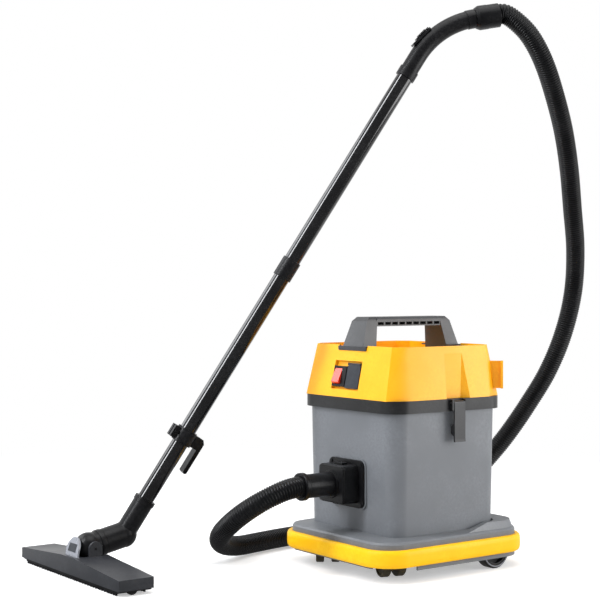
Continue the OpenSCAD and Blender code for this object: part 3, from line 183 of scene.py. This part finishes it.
def spread(tree, value, low, high):
    """Spreads the middle of a noise, where most of it lies, over low to high."""
    return map_range(tree, value, NOISE_MIDDLE, (low, high))


def moulded_grain():
    """The fine spark-eroded grain of moulded plastic: its height, and a mottle that dulls it in places."""
    group, ins, outs = new_group(
        "moulded_grain", {"Grain Scale": GRAIN_SCALE, "Mottle Scale": MOTTLE_SCALE, "Smooth": 0.35, "Dull": 0.5},
        ("Height", "Roughness", "Mottle"))
    grain = noise(group, ins["Vector"], ins["Grain Scale"], 2.0, 0.6)
    mottle = noise(group, ins["Vector"], ins["Mottle Scale"], 4.0, 0.55)
    feed(group, outs["Height"], grain)
    feed(group, outs["Roughness"], spread(group, mottle, ins["Smooth"], ins["Dull"]))
    feed(group, outs["Mottle"], spread(group, mottle, 0.0, 1.0))
    return group


def handling_marks():
    """Faint rubbed patches with fine scuffs in them, as a mask."""
    group, ins, outs = new_group(
        "handling_marks", {"Patch Scale": PATCH_SCALE, "Scuff Scale": SCUFF_SCALE}, ("Mask",))
    patch = noise(group, ins["Vector"], ins["Patch Scale"], 2.0, 0.5)
    scuff = noise(group, ins["Vector"], ins["Scuff Scale"], 5.0, 0.7)
    feed(group, outs["Mask"],
         calculate(group, "MULTIPLY", spread(group, patch, 0.0, 1.0), spread(group, scuff, 0.0, 1.0)))
    return group


GRAIN = moulded_grain()
MARKS = handling_marks()


def plastic(name, colour, smooth, dull, *, depth, shade, grain=GRAIN_SCALE, coat=0.0, metallic=0.0, specular=0.5):
    """Moulded plastic, or a plain metal or cloth: two close tones, a grain, a mottled gloss and faint scuffs.

    The roughness goes from smooth to dull, depth is the grain's strength and shade the darker tone's share."""
    material = bpy.data.materials.new(name)
    material.use_nodes = True
    tree = material.node_tree
    shader = tree.nodes["Principled BSDF"].inputs
    place = tree.nodes.new("ShaderNodeTexCoord").outputs["Object"]
    moulded = use_group(tree, GRAIN, place, Grain_Scale=grain, Mottle_Scale=MOTTLE_SCALE, Smooth=smooth, Dull=dull)
    marks = use_group(tree, MARKS, place)
    lighter = (*colour, 1.0)
    darker = (*(c * shade for c in colour), 1.0)
    scuffed = (*(min(1.0, c * SCUFF_GAIN + SCUFF_LIFT) for c in colour), 1.0)
    tone = mix_colours(tree, moulded["Mottle"], darker, lighter)
    feed(tree, shader["Base Color"], mix_colours(tree, marks["Mask"], tone, scuffed))
    feed(tree, shader["Roughness"], moulded["Roughness"])
    bump = tree.nodes.new("ShaderNodeBump")
    bump.inputs["Strength"].default_value = depth
    bump.inputs["Distance"].default_value = GRAIN_HEIGHT
    feed(tree, bump.inputs["Height"], moulded["Height"])
    feed(tree, shader["Normal"], bump.outputs["Normal"])
    shader["Metallic"].default_value = metallic
    shader["Specular IOR Level"].default_value = specular
    shader["Coat Weight"].default_value = coat
    shader["Coat Roughness"].default_value = COAT_ROUGHNESS
    return material


# One finish for each material slot of the record
PAINT = {
    "yellow_cover": plastic("cover_yellow", (0.94, 0.415, 0.003), 0.36, 0.44, depth=0.10, shade=0.985, specular=0.38),
    "yellow_bumper": plastic("bumper_yellow", (0.96, 0.500, 0.003), 0.38, 0.48, depth=0.16, shade=0.98, specular=0.2),
    "grey_tub": plastic("tub_grey", (0.140, 0.149, 0.163), 0.43, 0.47, depth=0.18, shade=0.985),
    "grey_base": plastic("base_grey", (0.140, 0.148, 0.160), 0.42, 0.50, depth=0.20, shade=0.97),
    "dark_grey": plastic("handle_dark_grey", (0.0120, 0.0122, 0.0130), 0.34, 0.44,
                         depth=0.30, shade=0.88, specular=0.32),
    "black_plastic": plastic("fitting_black", (0.0036, 0.0037, 0.0046), 0.30, 0.42,
                             depth=0.30, shade=0.8, specular=0.22),
    "black_gloss": plastic("wand_black", (0.0028, 0.0028, 0.0036), 0.16, 0.22,
                           depth=0.03, shade=0.8, specular=0.2, coat=0.9),
    "nozzle_grey": plastic("nozzle_grey", (0.021, 0.0225, 0.027), 0.32, 0.44, depth=0.30, shade=0.9, specular=0.40),
    "pedal_grey": plastic("pedal_grey", (0.235, 0.245, 0.275), 0.26, 0.36, depth=0.10, shade=0.95, specular=0.45),
    "red_rocker": plastic("rocker_red", (0.86, 0.035, 0.006), 0.18, 0.26, depth=0.04, shade=0.92, coat=0.25),
    "flap_blue_grey": plastic("flap_blue_grey", (0.020, 0.024, 0.032), 0.30, 0.42,
                              depth=0.2, shade=0.85, specular=0.3),
    "rubber_black": plastic("rubber_black", (0.008, 0.008, 0.008), 0.55, 0.70, depth=0.3, shade=0.8, specular=0.2),
    "tyre_grey": plastic("tyre_grey", (0.020, 0.018, 0.015), 0.42, 0.60, depth=0.3, shade=0.8, specular=0.3),
    "castor_tread": plastic("castor_tread", (0.085, 0.070, 0.038), 0.40, 0.55, depth=0.3, shade=0.8, specular=0.3),
    "hose_black": plastic("hose_black", (0.0036, 0.0038, 0.0046), 0.28, 0.38, depth=0.12, shade=0.8, specular=0.19),
    "steel": plastic("plain_steel", (0.55, 0.56, 0.58), 0.22, 0.36, depth=0.05, shade=0.9, metallic=1.0),
    "motor_metal": plastic("motor_metal", (0.55, 0.56, 0.58), 0.35, 0.5, depth=0.3, shade=0.9, metallic=1.0),
    "motor_core": plastic("motor_core", (0.30, 0.24, 0.19), 0.4, 0.55, depth=0.3, shade=0.8, metallic=0.6),
    "filter_cloth": plastic("filter_cloth", (0.66, 0.63, 0.56), 0.85, 0.95, depth=0.7, shade=0.85, grain=900.0),
    "filter_foam": plastic("filter_foam", (0.52, 0.50, 0.45), 0.85, 0.95, depth=0.8, shade=0.75, grain=500.0),
    "bag_paper": plastic("bag_paper", (0.55, 0.42, 0.25), 0.8, 0.9, depth=0.5, shade=0.85, grain=700.0),
    "bristle_black": plastic("bristle_black", (0.005, 0.005, 0.006), 0.5, 0.65, depth=0.3, shade=0.7, specular=0.15),
}

# Nodes whose plastic differs a little from that of their slot
HANDLE_SATIN = plastic("handle_satin", (0.034, 0.035, 0.038), 0.34, 0.44, depth=0.35, shade=0.9)
LATCH_SATIN = plastic("latch_satin", (0.022, 0.022, 0.024), 0.34, 0.44, depth=0.25, shade=0.9, specular=0.4)
FORK_BLACK = plastic("fork_black", (0.004, 0.004, 0.004), 0.4, 0.5, depth=0.2, shade=0.8, specular=0.15)
LOOK_OF = {
    "carry_handle": HANDLE_SATIN,
    "latch_left": LATCH_SATIN, "latch_right": LATCH_SATIN,
    "castor_fork_left": FORK_BLACK, "castor_fork_right": FORK_BLACK,
}

# ------------------------------------------------------------------ making and finishing pieces
MERGE_WITHIN = 0.00002
FLAT_WITHIN = math.radians(0.4)
SHARP_FROM = math.radians(28)
BEVEL_STEPS = 2


def alone(piece):
    """Only this piece is selected and active, in object mode."""
    if bpy.context.object and bpy.context.object.mode != "OBJECT":
        bpy.ops.object.mode_set(mode="OBJECT")
    bpy.ops.object.select_all(action="DESELECT")
    piece.select_set(True)
    bpy.context.view_layer.objects.active = piece


def edit(piece):
    alone(piece)
    bpy.ops.object.mode_set(mode="EDIT")


def name_new(name):
    """Names the primitive that has just been added."""
    piece = bpy.context.object
    piece.name = name
    piece.data.name = name
    return piece


def finish_piece(piece, body, slot, smooth=32.0, replaces=(), even=False, look=None):
    """Puts the piece's place in its mesh, smooths it (large faces stay even) and hands it to its body."""
    alone(piece)
    for modifier in list(piece.modifiers):
        bpy.ops.object.modifier_apply(modifier=modifier.name)
    bpy.ops.object.transform_apply(location=True, rotation=True, scale=True)
    bpy.ops.object.shade_smooth_by_angle(angle=math.radians(smooth))
    if even:
        modifier = piece.modifiers.new("even_faces", "WEIGHTED_NORMAL")
        modifier.keep_sharp = True
        bpy.ops.object.modifier_apply(modifier=modifier.name)
    piece.data.materials.clear()
    piece.data.materials.append(look or PAINT[slot])
    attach(piece, body)
    if replaces:
        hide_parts(*replaces)


def rounded_copy(node, rounding):
    """A copy of a CAD node with its triangles merged and its edges rounded by so many mm, still in edit mode."""
    piece = add_object(node + "_shell", frame["nodes"][node].data.copy())
    edit(piece)
    bpy.ops.mesh.select_all(action="SELECT")
    bpy.ops.mesh.remove_doubles(threshold=MERGE_WITHIN)
    bpy.ops.mesh.customdata_custom_splitnormals_clear()
    bpy.ops.mesh.dissolve_limited(angle_limit=FLAT_WITHIN)
    bpy.ops.mesh.select_all(action="DESELECT")
    bpy.ops.mesh.select_mode(type="EDGE")
    bpy.ops.mesh.edges_select_sharp(sharpness=SHARP_FROM)
    bpy.ops.mesh.bevel(offset=rounding * MM, segments=BEVEL_STEPS, affect="EDGES", clamp_overlap=True)
    return piece


def dress_node(node, rounding, slot):
    """A rounded copy that stands for the node."""
    piece = rounded_copy(node, rounding)
    finish_piece(piece, BODY_OF[node], slot, replaces=(node,), even=True, look=LOOK_OF.get(node))


# How far each node's edges are rounded, in mm
ROUNDING = {
    "castor_base": 1.2, "bumper": 1.5, "tub": 0.8, "inlet_flange": 1.2, "connector_block": 2.0, "release_tab": 1.0,
    "hose_cuff": 1.0, "motor_plate": 1.2, "head_cover": 0.9, "carry_handle": 1.2, "switch_housing": 0.8,
    "rocker_switch": 0.8, "brush_socket": 0.5, "socket_flap": 0.8, "cable_gland": 0.8, "exhaust_grille": 0.4,
    "latch_left": 1.0, "latch_right": 1.0, "swivel_collar": 1.0, "hand_tube": 0.5, "air_slide": 0.8,
    "upper_tube": 0.5, "lower_tube": 0.5, "tube_collar": 0.8, "parking_clip": 1.0, "nozzle_elbow": 0.8,
    "neck_ring": 1.0, "nozzle_neck": 0.5, "nozzle_body": 1.2, "nozzle_sole": 0.4,
    "nozzle_wheel_left": 0.8, "nozzle_wheel_right": 0.8, "rear_wheel_left": 0.6, "rear_wheel_right": 0.6,
    "rear_tyre_left": 0.6, "rear_tyre_right": 0.6, "castor_fork_left": 0.8, "castor_fork_right": 0.8,
    "castor_wheels_left": 0.5, "castor_wheels_right": 0.5, "axle_caps": 0.8,
}
BLACKENED_SCREWS = ("inlet_screws", "neck_pins", "clip_screw")
SCREW_ROUNDING = 0.3

for node_name, edge in ROUNDING.items():
    dress_node(node_name, edge, SLOT_OF[node_name])
for node_name in BLACKENED_SCREWS:
    dress_node(node_name, SCREW_ROUNDING, "black_plastic")

# ------------------------------------------------------------------ hose
HOSE_D = 0.044
HOSE_BORE_R = 0.0172
HOSE_SIDES = 24
RIB_PITCH = 0.0054
RIB_DEPTH = 0.0021
# a rib's height at its valley, shoulder, crown and shoulder
RIB_PROFILE = (0.0, 0.72, 1.0, 0.72)
# how many points of the ribs there are to a ring of the bore
BORE_EVERY = 16

# The route that the CAD hose follows, in mm from the machine's middle, and the faces that its ends meet
ROUTE_MM = [
    (0, -235, 188), (0, -258, 188), (0, -280, 188), (-3, -306, 184), (-14, -335, 172), (-34, -361, 154),
    (-62, -378, 132), (-98, -384, 107), (-136, -378, 84), (-172, -361, 64), (-205, -333, 47),
    (-234, -296, 34), (-258, -250, 26), (-277, -195, 24), (-293, -115, 24), (-303, -20, 24),
    (-305, 80, 24), (-298, 165, 26), (-281, 238, 36), (-256, 296, 58), (-225, 345, 92), (-192, 384, 138),
    (-158, 415, 189), (-124, 442, 244), (-86, 472, 316), (-48, 502, 398), (-14, 520, 490), (14, 524, 590),
    (44, 500, 690), (76, 456, 785), (108, 411, 873), (136, 362, 958), (157, 308, 1040), (167, 268, 1097),
    (167, 234, 1141), (159, 206, 1170), (139, 169, 1190), (126, 146, 1187), (113, 124, 1183)]
HOSE_START = Vector((0, -235.5, 188))
HOSE_END = Vector((111.897, 122.759, 1185.865))
HAND_OUT = Vector((0.49343, 0.85464, 0.16160))
START_STEP = 22
END_STEP = 30
# the points at each end that lie straight, and the legs beyond them over which the route eases back to its own
STRAIGHT = 3
EASE_OVER = 9
LINE_STEPS = 24


def route_knots():
    """The route as places of the frame, with straight ends drawn onto the pieces that the hose meets."""
    last = len(ROUTE_MM) - 1
    start_shift = HOSE_START - Vector(ROUTE_MM[0])
    end_shift = HOSE_END - Vector(ROUTE_MM[-1])
    knots = []
    for i, point in enumerate(ROUTE_MM):
        if i < STRAIGHT:
            place = HOSE_START - Vector((0, START_STEP * i, 0))
        elif last - i < STRAIGHT:
            place = HOSE_END + HAND_OUT * END_STEP * (last - i)
        else:
            from_start = max(0.0, 1 - (i + 1 - STRAIGHT) / EASE_OVER)
            from_end = max(0.0, 1 - (last - i + 1 - STRAIGHT) / EASE_OVER)
            place = Vector(point) + from_start * start_shift + from_end * end_shift
        knots.append(at(*place))
    return [2 * knots[0] - knots[1], *knots, 2 * knots[-1] - knots[-2]]


def smooth_line(knots):
    """A smooth line through all the knots but the first and the last, which only steer its ends."""
    line = []
    for a, b, c, d in zip(knots, knots[1:], knots[2:], knots[3:]):
        for k in range(LINE_STEPS):
            t = k / LINE_STEPS
            line.append(0.5 * (2 * b + (c - a) * t + (2 * a - 5 * b + 4 * c - d) * t * t
                               + (3 * b - a - 3 * c + d) * t ** 3))
    return [*line, knots[-2]]


def evenly(line, count):
    """count + 1 points at even steps along the line, and its length."""
    reach = [0.0]
    for a, b in zip(line, line[1:]):
        reach.append(reach[-1] + (b - a).length)
    points, i = [], 0
    for k in range(count + 1):
        s = reach[-1] * k / count
        while i < len(line) - 2 and reach[i + 1] < s:
            i += 1
        points.append(line[i].lerp(line[i + 1], (s - reach[i]) / (reach[i + 1] - reach[i])))
    return points, reach[-1]


def sweep_rings(mesh, points, radii):
    """Rings of vertices square to the line, turned as little as possible from one to the next."""
    rings, across = [], Vector((1, 0, 0))
    for i, point in enumerate(points):
        along = (points[min(i + 1, len(points) - 1)] - points[max(i - 1, 0)]).normalized()
        across = (across - along * across.dot(along)).normalized()
        up = along.cross(across)
        ring = []
        for k in range(HOSE_SIDES):
            turn = 2 * math.pi * k / HOSE_SIDES
            ring.append(mesh.verts.new(point + radii[i] * (math.cos(turn) * across + math.sin(turn) * up)))
        rings.append(ring)
    return rings


def join_rings(mesh, first, second):
    for k in range(HOSE_SIDES):
        after = (k + 1) % HOSE_SIDES
        mesh.faces.new((first[k], first[after], second[after], second[k]))


def close_end(mesh, outer_ring, inner_ring):
    rims = [mesh.edges.get((ring[k], ring[(k + 1) % HOSE_SIDES])) for ring in (outer_ring, inner_ring)
            for k in range(HOSE_SIDES)]
    bmesh.ops.bridge_loops(mesh, edges=rims)


def make_hose():
    """A ribbed hose with a smooth bore and closed rims."""
    line = smooth_line(route_knots())
    _, length = evenly(line, 1)
    ribs = round(length / RIB_PITCH)
    points, _ = evenly(line, ribs * len(RIB_PROFILE))
    radii = [HOSE_D / 2 - RIB_DEPTH * (1 - RIB_PROFILE[i % len(RIB_PROFILE)]) for i in range(len(points))]
    bore_points = [*points[:-1:BORE_EVERY], points[-1]]
    mesh = bmesh.new()
    outer = sweep_rings(mesh, points, radii)
    inner = sweep_rings(mesh, bore_points, [HOSE_BORE_R] * len(bore_points))
    for a, b in zip(outer, outer[1:]):
        join_rings(mesh, a, b)
    for a, b in zip(inner, inner[1:]):
        join_rings(mesh, b, a)
    for end in (0, -1):
        close_end(mesh, outer[end], inner[end])
    bmesh.ops.recalc_face_normals(mesh, faces=mesh.faces)
    data = bpy.data.meshes.new("ribbed_hose")
    mesh.to_mesh(data)
    mesh.free()
    piece = add_object("ribbed_hose", data)
    finish_piece(piece, "machine", "hose_black", 60.0, ("hose",))


make_hose()


# ------------------------------------------------------------------ pedal
def rounded_box(name, place, size, tilt, rounding):
    """A box of the given size in mm round a point of the frame, turned by tilt degrees about X."""
    bpy.ops.object.select_all(action="DESELECT")
    bpy.ops.mesh.primitive_cube_add(size=1.0, location=place, rotation=(math.radians(tilt), 0, 0))
    piece = name_new(name)
    piece.scale = Vector(size) * MM
    bpy.ops.object.transform_apply(location=False, rotation=False, scale=True)
    bevel = piece.modifiers.new("edges", "BEVEL")
    bevel.width = rounding * MM
    bevel.segments = BEVEL_STEPS
    return piece


# the lean in degrees of the CAD pedal, and how much further the dressed one leans
PEDAL_LEAN, PEDAL_MORE = 8.0, 12.0
PEDAL_FORWARD = 3.5 * MM
PEDAL_ROUNDING = 0.8
# the pin from the pedal's low corner, and the height above the pin from which the pedal leans
PIN_Y, PIN_Z = 0.0024, 0.0032
LEANS_FROM = 0.0022
PANEL_SIZE = (33, 1.4, 17)
PANEL_UP, PANEL_OUT = 18.5, 1.75
PANEL_ROUNDING = 0.4


def make_pedal():
    """The arch-shaped pedal, leaning back over the neck, with a dark panel set in its face."""
    low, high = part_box("nozzle_pedal")
    pin_z = low.z + PIN_Z
    hinge = Vector(((low.x + high.x) / 2, low.y + PIN_Y - PEDAL_FORWARD, pin_z))
    piece = rounded_copy("nozzle_pedal", PEDAL_ROUNDING)
    bpy.ops.mesh.select_all(action="DESELECT")
    bpy.ops.mesh.select_mode(type="VERT")
    bpy.ops.object.mode_set(mode="OBJECT")
    for vertex in piece.data.vertices:
        vertex.select = vertex.co.z > pin_z + LEANS_FROM
    edit(piece)
    bpy.ops.transform.translate(value=(0, -PEDAL_FORWARD, 0))
    bpy.ops.transform.rotate(value=math.radians(PEDAL_MORE), orient_axis="X", center_override=hinge)
    finish_piece(piece, "pedal", "pedal_grey", replaces=("nozzle_pedal",), even=True)

    lean = PEDAL_LEAN + PEDAL_MORE
    turn = math.radians(lean)
    up, out = Vector((0, math.sin(turn), math.cos(turn))), Vector((0, -math.cos(turn), math.sin(turn)))
    panel = rounded_box("pedal_panel", hinge + up * PANEL_UP * MM + out * PANEL_OUT * MM, PANEL_SIZE,
                        -lean, PANEL_ROUNDING)
    finish_piece(panel, "pedal", "flap_blue_grey", even=True)


make_pedal()

# ------------------------------------------------------------------ wheel rims
RIM_R, RIM_THICK = 35.2, 1.5
RIM_SEGMENTS, RIM_SIDES = 72, 10


def make_wheel_rims():
    """The pale ring on the outer face of each rear wheel."""
    for side in ("left", "right"):
        low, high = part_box("rear_tyre_" + side)
        face = low.x if side == "left" else high.x
        place = Vector((face, (low.y + high.y) / 2, (low.z + high.z) / 2))
        bpy.ops.object.select_all(action="DESELECT")
        bpy.ops.mesh.primitive_torus_add(major_radius=RIM_R * MM, minor_radius=RIM_THICK * MM,
                                         major_segments=RIM_SEGMENTS, minor_segments=RIM_SIDES,
                                         location=place, rotation=(0, math.pi / 2, 0))
        finish_piece(name_new("wheel_rim_" + side), "rear_roll_" + side, "pedal_grey", 60.0)


make_wheel_rims()

# ------------------------------------------------------------------ bristles
TUFTS = 77
TUFT_TALL = 8.6
TUFT_ROOT_R, TUFT_TIP_R = 0.0024, 0.0018
TUFT_SIDES = 8
# how much shorter than the tallest each tuft of a row's repeat is, in mm, and their gap to the floor
TUFT_DROPS = (0.0, 0.9, 0.3, 1.3, 0.1, 1.0, 0.6)
TUFT_GAP = 0.3
ROW_INSET = 0.003
STRIP_DEEP = 5.0
STRIP_FOOT = 5 * MM
STRIP_ROUNDING = 0.2


def tuft_turn(k):
    """A small turn to the left or right for tuft k, in degrees."""
    return (k * 37 % 11 - 5) * 0.9


def make_tuft_row(low, high):
    """One row of tufts of uneven length, along the nozzle at y = 0."""
    unit = (high.x - low.x - 2 * ROW_INSET) / TUFTS
    tufts = []
    for k, drop in enumerate(TUFT_DROPS):
        tall = (TUFT_TALL - drop) * MM
        bpy.ops.object.select_all(action="DESELECT")
        bpy.ops.mesh.primitive_cone_add(
            vertices=TUFT_SIDES, radius1=TUFT_ROOT_R, radius2=TUFT_TIP_R, depth=tall,
            location=(low.x + ROW_INSET + (k + 0.5) * unit, 0, (drop + TUFT_GAP) * MM + tall / 2),
            rotation=(0, math.radians(tuft_turn(k)), 0))
        tufts.append(name_new("tuft"))
    bpy.ops.object.select_all(action="DESELECT")
    for tuft in tufts:
        tuft.select_set(True)
    bpy.context.view_layer.objects.active = tufts[0]
    bpy.ops.object.join()
    row = bpy.context.object
    bpy.ops.object.transform_apply(location=True, rotation=True, scale=True)
    array = row.modifiers.new("along", "ARRAY")
    array.use_relative_offset = False
    array.use_constant_offset = True
    array.constant_offset_displace = (unit * len(TUFT_DROPS), 0, 0)
    array.count = TUFTS // len(TUFT_DROPS)
    bpy.ops.object.modifier_apply(modifier=array.name)
    return row


def make_bristles():
    """Two strips under the nozzle, each a bar with a row of tufts."""
    low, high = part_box("brush_strips")
    row = make_tuft_row(low, high)
    for name, y, stands_for in (("front", low.y + STRIP_DEEP / 2 * MM, ("brush_strips",)),
                                ("rear", high.y - STRIP_DEEP / 2 * MM, ())):
        tufts = add_object("tufts_" + name, row.data.copy())
        tufts.location = (0, y, 0)
        finish_piece(tufts, "brush", "bristle_black", 50.0)
        bar = rounded_box("tuft_bar_" + name, Vector(((low.x + high.x) / 2, y, (high.z + STRIP_FOOT) / 2)),
                          ((high.x - low.x) / MM, STRIP_DEEP, (high.z - STRIP_FOOT) / MM), 0.0, STRIP_ROUNDING)
        finish_piece(bar, "brush", "bristle_black", replaces=stands_for, even=True)
    bpy.data.objects.remove(row)


make_bristles()


# ------------------------------------------------------------------ other CAD nodes keep their shape
def paint_nodes():
    for node, piece in frame["nodes"].items():
        if not piece.hide_render:
            piece.data.materials.clear()
            piece.data.materials.append(PAINT[SLOT_OF[node]])


paint_nodes()

# ------------------------------------------------------------------ floor and light
FLOOR_SIZE = 30.0
FLOOR_COLOUR = 0.80
FLOOR_LIFT = 0.42
# metres from the frame's origin over which the floor fades into the white backdrop
FLOOR_FADE = (0.9, 2.2)
WORLD_LEVEL = 0.50
ROOM_LEVEL = 0.22
# where, along LOOK, reflections go over from the dim room in front to the white backdrop: metres on the floor,
# and the cosine of a direction in the world
FLOOR_TURN = (-0.2, 0.5)
WORLD_TURN = (-0.25, 0.35)
AIM = at(0, 0, 350)

# name, degrees to the right of the camera's side, metres off and above AIM, width, height, watts, colour
LAMPS = (
    ("left_strip", -62, 2.5, 1.5, 0.5, 2.4, 72, (0.95, 0.97, 1.0)),
    ("left_back", -108, 2.6, 1.6, 1.6, 1.6, 26, (0.93, 0.96, 1.0)),
    ("right_box", 78, 2.6, 0.5, 1.9, 1.8, 52, (1, 1, 1)),
    ("top_box", 0, 0.5, 2.4, 2.0, 2.0, 32, (1, 1, 1)),
)


def along_look(tree, vector):
    """How far a vector goes along LOOK."""
    node = tree.nodes.new("ShaderNodeVectorMath")
    node.operation = "DOT_PRODUCT"
    node.inputs[1].default_value = LOOK
    feed(tree, node.inputs[0], vector)
    return node.outputs["Value"]


def length_of(tree, vector):
    node = tree.nodes.new("ShaderNodeVectorMath")
    node.operation = "LENGTH"
    feed(tree, node.inputs[0], vector)
    return node.outputs["Value"]


def mix_shaders(tree, factor, first, second):
    node = tree.nodes.new("ShaderNodeMixShader")
    for socket, value in zip(node.inputs, (factor, first, second)):
        feed(tree, socket, value)
    return node.outputs[0]


def glow(tree, strength):
    node = tree.nodes.new("ShaderNodeEmission")
    node.inputs["Strength"].default_value = strength
    return node.outputs[0]


def floor_material():
    """A plain surface to the light. The camera sees it lifted to white, with the object's soft shadow near it."""
    material = bpy.data.materials.new("floor_white")
    material.use_nodes = True
    tree = material.node_tree
    plain = tree.nodes["Principled BSDF"]
    plain.inputs["Base Color"].default_value = (FLOOR_COLOUR, FLOOR_COLOUR, FLOOR_COLOUR, 1.0)
    plain.inputs["Roughness"].default_value = 0.9
    plain.inputs["Specular IOR Level"].default_value = 0.0
    place = tree.nodes.new("ShaderNodeTexCoord").outputs["Object"]
    path = tree.nodes.new("ShaderNodeLightPath").outputs

    lifted = tree.nodes.new("ShaderNodeAddShader")
    feed(tree, lifted.inputs[0], plain.outputs[0])
    feed(tree, lifted.inputs[1], glow(tree, FLOOR_LIFT))
    fade = map_range(tree, length_of(tree, place), FLOOR_FADE, (0.0, 1.0))
    seen = mix_shaders(tree, fade, lifted.outputs[0], glow(tree, 1.0))

    # in reflections, the floor before the object belongs to the dim room
    in_front = map_range(tree, along_look(tree, place), FLOOR_TURN, (1.0, 0.0))
    dimmed = calculate(tree, "MULTIPLY", in_front, path["Is Glossy Ray"])
    seen = mix_shaders(tree, dimmed, seen, glow(tree, ROOM_LEVEL))

    # rays of the camera, of reflections and of clear pieces see that, and the light meets the plain surface
    beyond = calculate(tree, "MAXIMUM", path["Is Glossy Ray"], path["Is Transmission Ray"])
    looked_at = calculate(tree, "MAXIMUM", path["Is Camera Ray"], beyond)
    feed(tree, tree.nodes["Material Output"].inputs["Surface"],
         mix_shaders(tree, looked_at, plain.outputs[0], seen))
    return material


def make_floor():
    bpy.ops.object.select_all(action="DESELECT")
    bpy.ops.mesh.primitive_plane_add(size=FLOOR_SIZE, location=(0, 0, 0))
    floor = bpy.context.object
    floor.name = "floor"
    floor.data.materials.append(floor_material())


def make_world():
    """White to the camera and to clear pieces. Reflections see the white backdrop behind, and a dim room in front."""
    world = bpy.data.worlds.new("studio")
    world.use_nodes = True
    tree = world.node_tree
    ground = tree.nodes["Background"].inputs
    ground["Color"].default_value = (1, 1, 1, 1)
    path = tree.nodes.new("ShaderNodeLightPath").outputs
    direction = tree.nodes.new("ShaderNodeTexCoord").outputs["Generated"]
    room = map_range(tree, along_look(tree, direction), WORLD_TURN, (ROOM_LEVEL, 1.0))
    level = WORLD_LEVEL
    for ray, value in (("Is Glossy Ray", room), ("Is Camera Ray", 1.0), ("Is Transmission Ray", 1.0)):
        mix = tree.nodes.new("ShaderNodeMix")
        for label, end in (("Factor", path[ray]), ("A", level), ("B", value)):
            feed(tree, mix.inputs[label], end)
        level = mix.outputs["Result"]
    feed(tree, ground["Strength"], level)
    bpy.context.scene.world = world


def make_lamp(name, turn, reach, rise, width, height, power, colour):
    """A lamp that faces AIM, turn degrees round it from the camera's side, reach metres off and rise above it."""
    data = bpy.data.lights.new(name, "AREA")
    data.shape = "RECTANGLE"
    data.size = width
    data.size_y = height
    data.energy = power
    data.color = colour
    angle = math.radians(turn)
    place = AIM + reach * (math.sin(angle) * RIGHT - math.cos(angle) * LOOK) + Vector((0, 0, rise))
    aim(add_object(name, data), place, AIM - place)


make_floor()
make_world()
for lamp in LAMPS:
    make_lamp(*lamp)

bpy.context.scene.view_settings.view_transform = "Standard"
